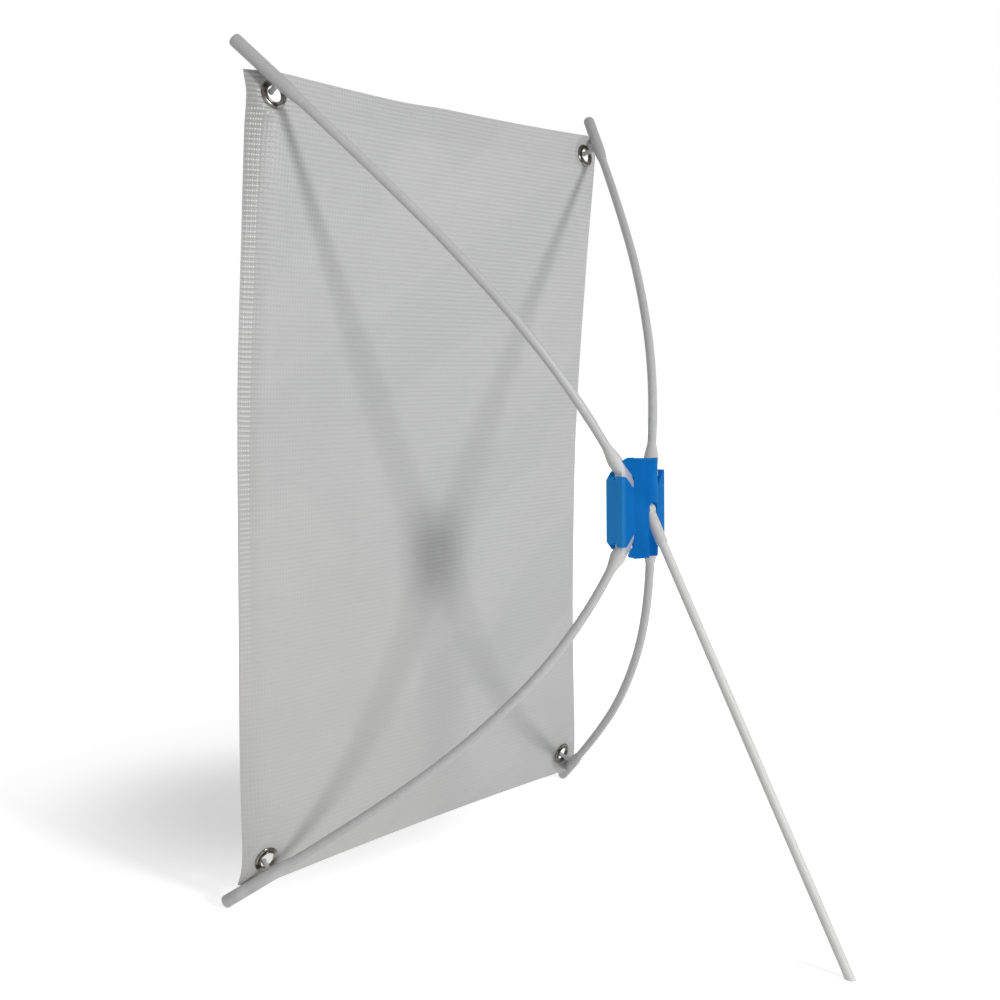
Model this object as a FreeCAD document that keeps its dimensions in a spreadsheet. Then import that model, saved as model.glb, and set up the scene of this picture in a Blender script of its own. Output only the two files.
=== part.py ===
import FreeCAD, Part
import math
import os
import Sketcher
from FreeCAD import Placement, Rotation, Vector

# X banner stand, table size. A blue hub holds four sprung rods in an X and one straight rear leg.
# The rods bow forward and stretch a small banner between their pegs, one peg in each corner eyelet.
# Frame: X across the banner, +Y to the rear, +Z up, the floor at Z = 0, millimetres.
# "left" and "right" are as seen from behind, so left is +X.

# Sizes
SIZES = {
    # banner
    "banner_width": 280.0,
    "banner_height": 420.0,
    "banner_thickness": 0.5,
    "eyelet_inset": 13.0,
    "lean_angle": 1.7,
    "sheet_sag": 9.0,
    "sheet_rise": 3.1,
    "side_drawn_in": 2.5,
    "edge_scallop": 4.5,
    "curl_reach": 28.0,
    "curl_run": 8.0,
    "hem_reach": 6.5,
    "end_reach": 20.0,
    "end_hem_reach": 6.0,
    "curl_angle_middle": 6.0,
    "curl_angle_corner": 9.0,
    "hem_angle_middle": 24.0,
    "hem_angle_corner": 48.0,
    "end_angle": 11.3,
    "end_hem_angle": 22.0,
    "cut_overrun": 1.0,
    # eyelets
    "eyelet_hole_radius": 4.2,
    "eyelet_barrel_wall": 0.35,
    "eyelet_flange_radius": 7.0,
    "eyelet_flange_height": 1.0,
    "eyelet_metal": 0.35,
    "eyelet_cloth_gap": 0.15,
    "eyelet_fit_gap": 0.05,
    # rods and their bow
    "rod_radius": 2.4,
    "hub_depth": 139.7,
    "hub_drop": 3.8,
    "hub_pitch_angle": 3.5,
    "socket_straight": 17.4,
    "upper_bend_angle": 20.16,
    "lower_bend_angle": 30.82,
    "upper_twist_angle": 12.87,
    "lower_twist_angle": 30.48,
    # end tips
    "tip_radius": 3.4,
    "tip_before_peg": 15.0,
    "tip_beyond_peg": 30.7,
    "tip_chamfer": 1.1,
    "tip_lip": 0.55,
    "tip_taper_length": 11.0,
    "tip_rod_depth": 12.0,
    "peg_outset": 5.9,
    "peg_setback": 8.3,
    "peg_radius": 1.3,
    "peg_head_radius": 1.55,
    "peg_head_length": 1.2,
    "peg_reach": 11.2,
    "peg_lean_angle": 25.0,
    "rod_fit_gap": 0.05,
    "rod_end_gap": 0.3,
    # arms in the hub
    "arm_pivot_across": 6.25,
    "arm_pivot_up": 7.7,
    "arm_angle": 60.0,
    "arm_length": 13.0,
    "arm_eye_radius": 4.5,
    "arm_tongue_width": 6.4,
    "arm_thickness": 4.6,
    "socket_start_radius": 2.6,
    "socket_mouth_radius": 3.0,
    "upper_belly_radius": 3.9,
    "upper_belly_at": 7.0,
    "upper_socket_length": 14.5,
    "lower_belly_radius": 4.15,
    "lower_belly_at": 5.0,
    "lower_socket_length": 11.8,
    "socket_floor": 2.7,
    "pin_radius": 1.5,
    "pin_chamfer": 0.3,
    "pin_fit_gap": 0.02,
    "running_gap": 0.05,
    # hub
    "bay_gap": 0.3,
    "hub_half_width": 18.5,
    "front_half_height": 20.1,
    "front_corner_across": 14.2,
    "front_corner_up": 16.0,
    "front_thickness": 3.9,
    "front_edge_radius": 1.0,
    "front_relief_up": 17.4,
    "front_relief_depth": 2.2,
    "parting_back": 0.5,
    "hub_side_wall": 1.6,
    "rear_shoulder_across": 17.5,
    "rear_shoulder_back": 6.2,
    "rear_crown_across": 4.5,
    "rear_crown_side_back": 9.4,
    "rear_crown_back": 9.7,
    "wing_half_height": 17.0,
    "wing_root_across": 9.9,
    "wing_notch_across": 17.0,
    "notch_floor_across": 12.6,
    "notch_floor_up": 11.6,
    "neck_half_width": 10.0,
    "neck_top_up": 17.0,
    "column_corner_across": 15.3,
    "column_edge_back": 4.0,
    "column_corner_up": 25.6,
    "column_crown_up": 27.0,
    "foot_corner_across": 14.1,
    "foot_corner_down": 23.3,
    "foot_crown_down": 24.3,
    "column_front_back": 3.1,
    "column_round": 3.0,
    "pin_depth_front": 2.6,
    "pin_depth_rear": 3.4,
    # rear leg
    "leg_foot_back": 266.94,
    "leg_radius": 2.4,
    "leg_pivot_back": 7.0,
    "leg_pivot_drop": 0.0,
    "leg_eye_radius": 3.1,
    "leg_eye_thickness": 5.0,
    "leg_slot_gap": 0.3,
    "leg_slot_top": 4.9,
    "leg_socket_length": 19.0,
    "leg_socket_mouth_radius": 3.0,
    "leg_socket_floor": 5.0,
    "leg_pin_radius": 1.2,
    "leg_pin_half_length": 5.9,
}

# Shares along the sheet's half height, and how much of the sag is left there.
SAG_HEIGHT_SHARES = (0.0, 0.26, 0.53, 0.76, 0.92)
SAG_DEPTH_SHARES = (1.0, 0.93, 0.74, 0.42, 0.11)
# Each rod is three arcs of equal length; this is how its bend is shared between them.
BEND_SHARES = (5.0 / 9.0, 3.0 / 9.0, 1.0 / 9.0)

doc = FreeCAD.newDocument("x_banner_stand")
sheet = doc.addObject("Spreadsheet::Sheet", "sizes")
for row, (name, value) in enumerate(SIZES.items(), start=1):
    sheet.set("A%d" % row, name)
    sheet.set("B%d" % row, str(value))
    sheet.setAlias("B%d" % row, name)
doc.recompute()


class Size:
    """A number together with the spreadsheet expression that gives it."""

    def __init__(self, value, text):
        self.value = value
        self.text = text

    @staticmethod
    def of(other):
        return other if isinstance(other, Size) else Size(float(other), repr(float(other)))

    def __add__(self, other):
        other = Size.of(other)
        return Size(self.value + other.value, "(%s + %s)" % (self.text, other.text))

    def __sub__(self, other):
        other = Size.of(other)
        return Size(self.value - other.value, "(%s - %s)" % (self.text, other.text))

    def __mul__(self, other):
        other = Size.of(other)
        return Size(self.value * other.value, "(%s * %s)" % (self.text, other.text))

    def __truediv__(self, other):
        other = Size.of(other)
        return Size(self.value / other.value, "(%s / %s)" % (self.text, other.text))

    def __neg__(self):
        return Size(-self.value, "(-%s)" % self.text)


class Cells:
    """Reads a cell of the sheet by its alias, as a Size."""

    def __getattr__(self, name):
        return Size(SIZES[name], "sizes." + name)


c = Cells()
ZERO = Size(0.0, "0")


def bind(thing, prop, size):
    """Set a property to a size and tie it to the sheet."""
    setattr(thing, prop, size.value)
    thing.setExpression(prop, size.text)


def plane(body, role):
    """One of the body's own origin planes."""
    for feature in body.Origin.OriginFeatures:
        if feature.Role == role:
            return feature
    raise ValueError(role)


def new_body(name, placement):
    body = doc.addObject("PartDesign::Body", name)
    body.Label = name
    body.Placement = placement
    return body


def new_sketch(body, name, role="XY_Plane", offset=None):
    """A sketch on one of the body's origin planes, raised along the plane's normal by an offset."""
    sketch = body.newObject("Sketcher::SketchObject", name)
    sketch.AttachmentSupport = (plane(body, role), [""])
    sketch.MapMode = "FlatFace"
    if offset is not None:
        sketch.AttachmentOffset = Placement(Vector(0, 0, offset.value), Rotation())
        sketch.setExpression("AttachmentOffset.Base.z", offset.text)
    return sketch


def pin_point(sketch, index, end, x, y):
    """Tie one point of a sketch to two sizes measured from the sketch's origin."""
    for kind, along, size in (("DistanceX", -2, x), ("DistanceY", -1, y)):
        if size is ZERO:
            sketch.addConstraint(Sketcher.Constraint("PointOnObject", index, end, along))
            continue
        number = sketch.addConstraint(Sketcher.Constraint(kind, -1, 1, index, end, size.value))
        sketch.setExpression("Constraints[%d]" % number, size.text)


def closed_outline(sketch, points, bows=None):
    """Close a run of points with lines, or with an arc where bows gives the arc's middle point."""
    bows = bows or {}
    count = len(points)
    first = sketch.GeometryCount
    for k in range(count):
        x0, y0 = points[k]
        x1, y1 = points[(k + 1) % count]
        start = Vector(x0.value, y0.value, 0)
        end = Vector(x1.value, y1.value, 0)
        if k in bows:
            xm, ym = bows[k]
            sketch.addGeometry(Part.Arc(start, Vector(xm.value, ym.value, 0), end), False)
        else:
            sketch.addGeometry(Part.LineSegment(start, end), False)
    ends = []
    for k in range(count):
        start = Vector(points[k][0].value, points[k][1].value, 0)
        gaps = [(sketch.getPoint(first + k, end) - start).Length for end in (1, 2)]
        ends.append((1, 2) if gaps[0] <= gaps[1] else (2, 1))
    for k in range(count):
        after = (k + 1) % count
        sketch.addConstraint(
            Sketcher.Constraint("Coincident", first + k, ends[k][1], first + after, ends[after][0])
        )
    for k in range(count):
        pin_point(sketch, first + k, ends[k][0], *points[k])
    for k, (xm, ym) in bows.items():
        middle = sketch.addGeometry(Part.Point(Vector(xm.value, ym.value, 0)), True)
        pin_point(sketch, middle, 1, xm, ym)
        sketch.addConstraint(Sketcher.Constraint("PointOnObject", middle, 1, first + k))
    return first


def circle(sketch, x, y, radius):
    round_line = Part.Circle(Vector(x.value, y.value, 0), Vector(0, 0, 1), radius.value)
    index = sketch.addGeometry(round_line, False)
    number = sketch.addConstraint(Sketcher.Constraint("Radius", index, radius.value))
    sketch.setExpression("Constraints[%d]" % number, radius.text)
    pin_point(sketch, index, 3, x, y)
    return index


def pad(body, sketch, length, name, back=False, both=False):
    feature = body.newObject("PartDesign::Pad", name)
    feature.Profile = sketch
    bind(feature, "Length", length)
    feature.Reversed = back
    if both:
        feature.SideType = "Symmetric"
    doc.recompute()
    return feature


def pocket(body, sketch, length, name, back=False, both=False):
    """Cut along the sketch's normal, against it with back, or half the length each way with both."""
    before = body.Shape.Volume
    feature = body.newObject("PartDesign::Pocket", name)
    feature.Profile = sketch
    bind(feature, "Length", length)
    feature.Reversed = not back
    if both:
        feature.SideType = "Symmetric"
    doc.recompute()
    if not body.Shape.Volume < before:
        raise ValueError("%s removed nothing" % name)
    return feature


def turn(body, sketch, name, axis="H_Axis"):
    feature = body.newObject("PartDesign::Revolution", name)
    feature.Profile = sketch
    feature.ReferenceAxis = (sketch, [axis])
    feature.Angle = 360.0
    doc.recompute()
    return feature


def degrees(size):
    return math.radians(size.value)


def aim(point, direction, side):
    """A placement whose X axis runs along a direction, with its Y axis as near as it can be to side."""
    x = Vector(direction).normalize()
    z = x.cross(side).normalize()
    y = z.cross(x)
    return Placement(FreeCAD.Matrix(
        x.x, y.x, z.x, point.x,
        x.y, y.y, z.y, point.y,
        x.z, y.z, z.z, point.z,
        0, 0, 0, 1))


# Where everything lies
# The stand's own frame has its origin at the banner's centre, in the plane of the eyelets. It leans
# back by a small angle, and is lifted until the lower tips stand on the floor.
EYELET_X = (c.banner_width / 2 - c.eyelet_inset).value
EYELET_Z = (c.banner_height / 2 - c.eyelet_inset).value
OUT_X = math.cos(math.atan2(EYELET_Z, EYELET_X))
OUT_Z = math.sin(math.atan2(EYELET_Z, EYELET_X))
HUB = Vector(0, c.hub_depth.value, -c.hub_drop.value)
# The hub is held by its rods alone, and its top tips a little towards the banner.
PITCH = Rotation(Vector(1, 0, 0), c.hub_pitch_angle.value)
HUB_REAR = PITCH.multVec(Vector(0, 1, 0))


def bow_end(bend, length):
    """Where three tangent arcs of a total length end, in their own plane, starting along +X."""
    x = 0.0
    y = 0.0
    angle = 0.0
    for share in BEND_SHARES:
        step = bend * share
        radius = length / len(BEND_SHARES) / step
        x += radius * (math.sin(angle + step) - math.sin(angle))
        y += radius * (math.cos(angle + step) - math.cos(angle))
        angle += step
    return x, y


class Bow:
    """One rod: from the elbow of its arm, straight, then three arcs, then straight to the peg."""

    def __init__(self, side, level):
        self.side = side
        self.level = level
        upper = level > 0
        self.bend = degrees(c.upper_bend_angle if upper else c.lower_bend_angle)
        twist = degrees(c.upper_twist_angle if upper else c.lower_twist_angle) * side * level
        arm = degrees(c.arm_angle)
        across = side * c.arm_pivot_across.value
        up = level * c.arm_pivot_up.value
        self.pivot = HUB + PITCH.multVec(Vector(across, 0, up))
        self.arm = PITCH.multVec(Vector(side * math.cos(arm), 0, level * math.sin(arm)))
        self.elbow = self.pivot + self.arm * c.arm_length.value
        outset = c.peg_outset.value
        self.eyelet = Vector(side * EYELET_X, 0, level * EYELET_Z)
        self.outward = Vector(side * OUT_X, 0, level * OUT_Z)
        self.peg = self.eyelet + self.outward * outset + Vector(0, c.peg_setback.value, 0)
        chord = self.peg - self.elbow
        reach = chord.Length
        u = Vector(chord).normalize()
        rear = Vector(0, 1, 0)
        v = (rear - u * rear.dot(u)).normalize()
        w = u.cross(v)
        v = v * math.cos(twist) + w * math.sin(twist)
        unit_x, unit_y = bow_end(self.bend, 1.0)
        first = c.socket_straight.value
        last = c.tip_before_peg.value
        line_x = first + last * math.cos(self.bend)
        line_y = -last * math.sin(self.bend)
        square = unit_x ** 2 + unit_y ** 2
        middle = 2 * (line_x * unit_x + line_y * unit_y)
        rest = line_x ** 2 + line_y ** 2 - reach ** 2
        self.length = (-middle + math.sqrt(middle ** 2 - 4 * square * rest)) / (2 * square)
        end_x = line_x + self.length * unit_x
        end_y = line_y + self.length * unit_y
        tilt = math.atan2(end_y, end_x)
        self.along = u * math.cos(tilt) - v * math.sin(tilt)
        self.across = u * math.sin(tilt) + v * math.cos(tilt)
        self.tip = self.along * math.cos(self.bend) - self.across * math.sin(self.bend)
        self.shoulder = self.peg - self.tip * last
        self.end = self.peg + self.tip * c.tip_beyond_peg.value


BOWS = {
    "upper_left": Bow(1, 1),
    "upper_right": Bow(-1, 1),
    "lower_left": Bow(1, -1),
    "lower_right": Bow(-1, -1),
}

LEAN = Rotation(Vector(1, 0, 0), -c.lean_angle.value)


def tip_extent(bow, pick):
    """The lowest value that a turned tip end reaches along one world axis."""
    end = LEAN.multVec(bow.end)
    along = LEAN.multVec(bow.tip)
    square = math.sqrt(1 - pick(along) ** 2)
    radius = c.tip_radius.value
    chamfer = c.tip_chamfer.value
    ring = pick(end) - pick(along) * chamfer - radius * square
    face = pick(end) - (radius - chamfer) * square
    return min(ring, face)


LIFT = -tip_extent(BOWS["lower_left"], lambda p: p.z)
LEG_PIVOT = HUB + PITCH.multVec(Vector(0, c.leg_pivot_back.value, -c.leg_pivot_drop.value))
pivot_world = LEAN.multVec(LEG_PIVOT) + Vector(0, 0, LIFT)
foot_world = Vector(0, c.leg_foot_back.value, 0)
leg_world = foot_world - pivot_world
LEG_LENGTH = leg_world.Length
foot_half_depth = c.leg_radius.value * LEG_LENGTH / abs(leg_world.z)
front_most = tip_extent(BOWS["lower_left"], lambda p: p.y)
SHIFT = -(front_most + foot_world.y + foot_half_depth) / 2
STAND = Placement(Vector(0, SHIFT, LIFT), LEAN)
# The hub's frame: X across, local Y up the hub, local Z forward, its origin in the arms' middle plane.
HUB_FRAME = STAND * Placement(HUB, PITCH * Rotation(Vector(1, 0, 0), 90))
nodes = []


def keep(thing):
    nodes.append(thing)
    return thing


# Banner
def sheet_depth(share):
    """How far behind the eyelet plane the middle of the sheet lies at a share of the flat ends' height."""
    pairs = list(zip(SAG_HEIGHT_SHARES, SAG_DEPTH_SHARES))
    for (s0, d0), (s1, d1) in zip(pairs, pairs[1:]):
        if share <= s1:
            mixed = d0 + (d1 - d0) * (share - s0) / (s1 - s0)
            return c.sheet_rise.value - (c.sheet_rise + c.sheet_sag).value * mixed
    return c.sheet_rise.value


def sheet_section(height, depth, curl, hem):
    """A thin closed section of the sheet at one height: flat middle, curled sides and turned hems."""
    half = (c.banner_width / 2 + c.cut_overrun).value
    start = (c.banner_width / 2 - c.curl_reach).value
    run_end = start + c.curl_run.value
    hem_start = (c.banner_width / 2 - c.hem_reach).value
    points = [(start, depth)]
    steps = (
        (run_end - start, 0.0, curl),
        (hem_start - run_end, curl, curl),
        (half - hem_start, curl, curl + hem),
    )
    middles = []
    for width, before, after in steps:
        x, y = points[-1]
        if before == after:
            middles.append(None)
            points.append((x + width, y - width * math.tan(before)))
            continue
        radius = width / (math.sin(after) - math.sin(before))
        centre = (x - radius * math.sin(before), y - radius * math.cos(before))
        halfway = (before + after) / 2
        middles.append((centre[0] + radius * math.sin(halfway), centre[1] + radius * math.cos(halfway)))
        points.append((centre[0] + radius * math.sin(after), centre[1] + radius * math.cos(after)))
    edges = []
    for back, offset in ((True, 0.0), (False, c.banner_thickness.value)):
        chain = []
        shift = c.banner_thickness.value / 2 - offset

        def at(point, side):
            return Vector(side * point[0], point[1] + shift, height)

        for k in reversed(range(len(steps))):
            a = at(points[k + 1], -1)
            b = at(points[k], -1)
            if middles[k] is None:
                chain.append(Part.LineSegment(a, b).toShape())
            else:
                chain.append(Part.Arc(a, at(middles[k], -1), b).toShape())
        chain.append(Part.LineSegment(at(points[0], -1), at(points[0], 1)).toShape())
        for k in range(len(steps)):
            a = at(points[k], 1)
            b = at(points[k + 1], 1)
            if middles[k] is None:
                chain.append(Part.LineSegment(a, b).toShape())
            else:
                chain.append(Part.Arc(a, at(middles[k], 1), b).toShape())
        edges.append((chain, at(points[-1], -1), at(points[-1], 1)))
    (back_chain, back_left, back_right), (front_chain, front_left, front_right) = edges
    ring = back_chain + [Part.LineSegment(back_right, front_right).toShape()]
    ring += list(reversed(front_chain)) + [Part.LineSegment(front_left, back_left).toShape()]
    return Part.Wire(ring)


def eyelet_depth_drop():
    """How far the curled side falls between the sheet's flat middle and the eyelet's centre."""
    curl = degrees(c.curl_angle_corner)
    radius = c.curl_run.value / math.sin(curl)
    straight = (c.curl_reach - c.curl_run - c.eyelet_inset).value
    return radius * (1 - math.cos(curl)) + straight * math.tan(curl)


def make_banner():
    half_height = (c.banner_height / 2).value
    flat_start = half_height - c.end_reach.value
    flat_end = half_height - c.end_hem_reach.value
    end_slope = math.tan(degrees(c.end_angle))
    hem_slope = math.tan(degrees(c.end_angle) + degrees(c.end_hem_angle))
    overrun = c.cut_overrun.value
    at_eyelet = eyelet_depth_drop()
    at_start = at_eyelet + (c.end_reach - c.eyelet_inset).value * end_slope
    at_end = at_eyelet - (c.eyelet_inset - c.end_hem_reach).value * end_slope
    at_edge = at_end - (c.end_hem_reach.value + overrun) * hem_slope
    corner = (degrees(c.curl_angle_corner), degrees(c.hem_angle_corner))
    middle = (degrees(c.curl_angle_middle), degrees(c.hem_angle_middle))
    rise = at_start - c.sheet_rise.value
    upper = []
    for share in SAG_HEIGHT_SHARES:
        height = flat_start * share
        curl = middle[0] + (corner[0] - middle[0]) * share
        hem = middle[1] + (corner[1] - middle[1]) * share
        upper.append((height, sheet_depth(share) + rise, curl, hem))
    upper.append((flat_start, at_start, *corner))
    lower = [(-height, depth, curl, hem) for height, depth, curl, hem in reversed(upper[1:])]
    body = Part.makeLoft([sheet_section(*row) for row in lower + upper], True, False)
    for level in (1, -1):
        rows = ((flat_start, at_start), (flat_end, at_end), (half_height + overrun, at_edge))
        wires = [sheet_section(level * height, depth, *corner) for height, depth in rows]
        body = body.fuse(Part.makeLoft(wires, True, True))
    return body


def banner_outline():
    """The sheet's cut outline: drawn in at the sides and scalloped at the top and bottom."""
    x = (c.banner_width / 2).value
    z = (c.banner_height / 2).value
    y = c.hub_depth.value
    drawn = c.side_drawn_in.value
    scallop = c.edge_scallop.value
    corners = (Vector(x, y, z), Vector(-x, y, z), Vector(-x, y, -z), Vector(x, y, -z))
    middles = (
        Vector(0, y, z - scallop),
        Vector(drawn - x, y, 0),
        Vector(0, y, scallop - z),
        Vector(x - drawn, y, 0),
    )
    edges = [Part.Arc(corners[k], middles[k], corners[(k + 1) % 4]).toShape() for k in range(4)]
    return Part.Face(Part.Wire(edges)).extrude(Vector(0, -2 * y, 0))


def eyelet_placement(bow):
    """Local Z is the eyelet's axis, out of the sheet to the rear."""
    curl = math.tan(degrees(c.curl_angle_corner))
    end = math.tan(degrees(c.end_angle))
    normal = Vector(bow.side * curl, 1, bow.level * end).normalize()
    return Placement(bow.eyelet, Rotation(Vector(0, 0, 1), normal))


hole_radius = (c.eyelet_hole_radius + c.eyelet_barrel_wall + c.eyelet_cloth_gap).value
cloth = make_banner().common(banner_outline())
for bow in BOWS.values():
    drill = Part.makeCylinder(hole_radius, 2 * c.end_reach.value, Vector(0, 0, -c.end_reach.value))
    drill.Placement = eyelet_placement(bow)
    cloth = cloth.cut(drill)
banner = keep(doc.addObject("Part::Feature", "banner_sheet"))
banner.Label = "banner_sheet"
banner.Shape = cloth.removeSplitter().Solids[0]
banner.Placement = STAND


# Eyelets
def half_profile(body, name, points, bows=None):
    """A profile in the body's XZ plane, to be turned about its Z axis."""
    sketch = new_sketch(body, name, "XZ_Plane")
    closed_outline(sketch, points, bows)
    return sketch


seat = c.banner_thickness / 2 + c.eyelet_cloth_gap
hole = c.eyelet_hole_radius
barrel = c.eyelet_hole_radius + c.eyelet_barrel_wall
flange = c.eyelet_flange_radius
height = c.eyelet_flange_height
metal = c.eyelet_metal
for name, bow in BOWS.items():
    front = keep(new_body("eyelet_" + name, STAND * eyelet_placement(bow)))
    curl_back = seat + height + c.eyelet_fit_gap
    profile = half_profile(front, "profile", [
        (hole, -(seat + metal)),
        (flange, -seat - metal),
        (flange, -seat),
        (barrel, -seat),
        (barrel, curl_back),
        (barrel + metal * 2, curl_back - metal * 0.4),
        (barrel + metal * 2, curl_back + metal * 0.3),
        (hole, curl_back + metal),
    ])
    turn(front, profile, "turned", "V_Axis")
    washer = keep(new_body("eyelet_washer_" + name, STAND * eyelet_placement(bow)))
    inner = barrel + c.eyelet_fit_gap
    profile = half_profile(washer, "profile", [
        (inner, seat + height - metal * 2.2),
        (flange - metal * 1.6, seat),
        (flange, seat),
        (flange, seat + metal),
        (inner + metal * 3, seat + height - metal * 0.6),
        (inner, seat + height - metal * 0.6),
    ])
    turn(washer, profile, "turned", "V_Axis")


# Rods
def make_rod(name, bow):
    """A round rod swept along its straight seat, its three arcs and its straight end."""
    start = c.socket_floor.value + c.rod_end_gap.value
    placement = aim(bow.elbow, bow.along, bow.across)
    body = new_body("rod_" + name, STAND * placement)
    path = new_sketch(body, "path")
    x = c.socket_straight.value
    y = 0.0
    angle = 0.0
    path.addGeometry(Part.LineSegment(Vector(start, 0, 0), Vector(x, 0, 0)), False)
    for share in BEND_SHARES:
        step = bow.bend * share
        radius = bow.length / len(BEND_SHARES) / step
        centre = Vector(x - radius * math.sin(angle), y - radius * math.cos(angle), 0)

        def on_arc(turned):
            return centre + Vector(radius * math.sin(turned), radius * math.cos(turned), 0)

        path.addGeometry(Part.Arc(Vector(x, y, 0), on_arc(angle + step / 2), on_arc(angle + step)), False)
        angle += step
        x = on_arc(angle).x
        y = on_arc(angle).y
    last = c.tip_rod_depth.value
    end = Vector(x + last * math.cos(angle), y - last * math.sin(angle), 0)
    path.addGeometry(Part.LineSegment(Vector(x, y, 0), end), False)
    section = new_sketch(body, "section", "YZ_Plane")
    section.AttachmentOffset = Placement(Vector(0, 0, start), Rotation())
    circle(section, ZERO, ZERO, c.rod_radius)
    pipe = body.newObject("PartDesign::AdditivePipe", "swept")
    pipe.Profile = section
    pipe.Spine = path
    doc.recompute()
    wanted = math.pi * c.rod_radius.value ** 2 * (c.socket_straight.value - start + bow.length + last)
    if abs(body.Shape.Volume / wanted - 1) > 0.001:
        raise ValueError("rod_%s has volume %.1f, not %.1f" % (name, body.Shape.Volume, wanted))
    return body


for name, bow in BOWS.items():
    keep(make_rod(name, bow))


# End tips
def part_cylinder(name, radius, length, placement):
    thing = doc.addObject("Part::Cylinder", name)
    bind(thing, "Radius", radius)
    bind(thing, "Height", length)
    thing.Placement = placement
    return thing


def fused(label, pieces):
    thing = doc.addObject("Part::MultiFuse", label)
    thing.Shapes = pieces
    thing.Refine = True
    thing.Label = label
    return thing


bore = c.rod_radius + c.rod_fit_gap
for name, bow in BOWS.items():
    full = c.tip_before_peg + c.tip_beyond_peg
    depth = c.tip_rod_depth + c.rod_end_gap
    sleeve = new_body("tip_sleeve_" + name, STAND * aim(bow.shoulder, bow.tip, Vector(0, 1, 0)))
    profile = new_sketch(sleeve, "profile")
    closed_outline(profile, [
        (ZERO, bore),
        (ZERO, c.tip_radius - c.tip_lip),
        (c.tip_taper_length, c.tip_radius),
        (full - c.tip_chamfer, c.tip_radius),
        (full, c.tip_radius - c.tip_chamfer),
        (full, ZERO),
        (depth, ZERO),
        (depth, bore),
    ])
    turn(sleeve, profile, "turned")
    lean = degrees(c.peg_lean_angle)
    point = Vector(0, -math.cos(lean), 0) - bow.outward * math.sin(lean)
    peg_frame = STAND * Placement(bow.peg, Rotation(Vector(0, 0, 1), point))
    peg = new_body("tip_peg_" + name, peg_frame)
    profile = half_profile(peg, "profile", [
        (ZERO, ZERO),
        (c.peg_radius, ZERO),
        (c.peg_radius, c.peg_reach - c.peg_head_length),
        (c.peg_head_radius, c.peg_reach - c.peg_head_length * 0.6),
        (c.peg_head_radius * 0.7, c.peg_reach),
        (ZERO, c.peg_reach),
    ])
    turn(peg, profile, "turned", "V_Axis")
    keep(fused("tip_" + name, [sleeve, peg]))


# Arms
pin_hole = c.pin_radius + c.running_gap
for name, bow in BOWS.items():
    # The tongue lies in the arms' plane: X along the arm, Z along the hinge axis.
    frame = STAND * aim(bow.pivot, bow.arm, HUB_REAR)
    tongue = new_body("arm_tongue_" + name, frame)
    outline = new_sketch(tongue, "outline", "XZ_Plane")
    half = c.arm_tongue_width / 2
    closed_outline(outline, [
        (ZERO, half),
        (ZERO, -half),
        (c.arm_length, -half),
        (c.arm_length, half),
    ], {2: (c.arm_length + half, ZERO)})
    pad(tongue, outline, c.arm_thickness, "blade", both=True)
    eye = new_sketch(tongue, "eye", "XZ_Plane")
    circle(eye, ZERO, ZERO, c.arm_eye_radius)
    pad(tongue, eye, c.arm_thickness, "eye_disc", both=True)
    socket = new_body("arm_socket_" + name, STAND * aim(bow.elbow, bow.along, Vector(0, 1, 0)))
    profile = new_sketch(socket, "profile")
    if bow.level > 0:
        belly = (c.upper_belly_at, c.upper_belly_radius)
        socket_length = c.upper_socket_length
    else:
        belly = (c.lower_belly_at, c.lower_belly_radius)
        socket_length = c.lower_socket_length
    closed_outline(profile, [
        (ZERO, ZERO),
        (ZERO, c.socket_start_radius),
        (socket_length, c.socket_mouth_radius),
        (socket_length, ZERO),
    ], {1: belly})
    turn(socket, profile, "turned")
    bore_frame = STAND * Placement(bow.elbow, Rotation(Vector(0, 0, 1), bow.along))
    bore_frame = bore_frame * Placement(Vector(0, 0, c.socket_floor.value), Rotation())
    rod_bore = part_cylinder("arm_bore_" + name, bore, socket_length, bore_frame)
    hinge_frame = HUB_FRAME * Placement(
        Vector(
            bow.side * c.arm_pivot_across.value,
            bow.level * c.arm_pivot_up.value,
            -c.arm_thickness.value),
        Rotation())
    hinge_bore = part_cylinder("arm_eye_bore_" + name, pin_hole, c.arm_thickness * 2, hinge_frame)
    arm = doc.addObject("Part::Cut", "arm_" + name)
    arm.Base = fused("arm_blank_" + name, [tongue, socket])
    arm.Tool = fused("arm_cuts_" + name, [rod_bore, hinge_bore])
    arm.Label = "arm_" + name
    keep(arm)

# Hub front plate
# In the hub's frame the arms' bay lies within bay_half of the origin plane, the front plate is in front
# of it (local +Z) and the rear shell behind it (local -Z).
bay_half = c.arm_thickness / 2 + c.bay_gap
front_plate = keep(new_body("hub_front_plate", HUB_FRAME))
outline = new_sketch(front_plate, "outline", offset=bay_half)
w = c.hub_half_width
closed_outline(outline, [
    (w, -c.front_corner_up),
    (w, c.front_corner_up),
    (c.front_corner_across, c.front_half_height),
    (-c.front_corner_across, c.front_half_height),
    (-w, c.front_corner_up),
    (-w, -c.front_corner_up),
    (-c.front_corner_across, -c.front_half_height),
    (c.front_corner_across, -c.front_half_height),
])
plate = pad(front_plate, outline, c.front_thickness, "plate")


def edges_where(shape, test):
    """The names of the edges whose ends all pass a test."""
    return ["Edge%d" % k for k, edge in enumerate(shape.Edges, start=1)
            if all(test(vertex.Point) for vertex in edge.Vertexes)]


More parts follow.
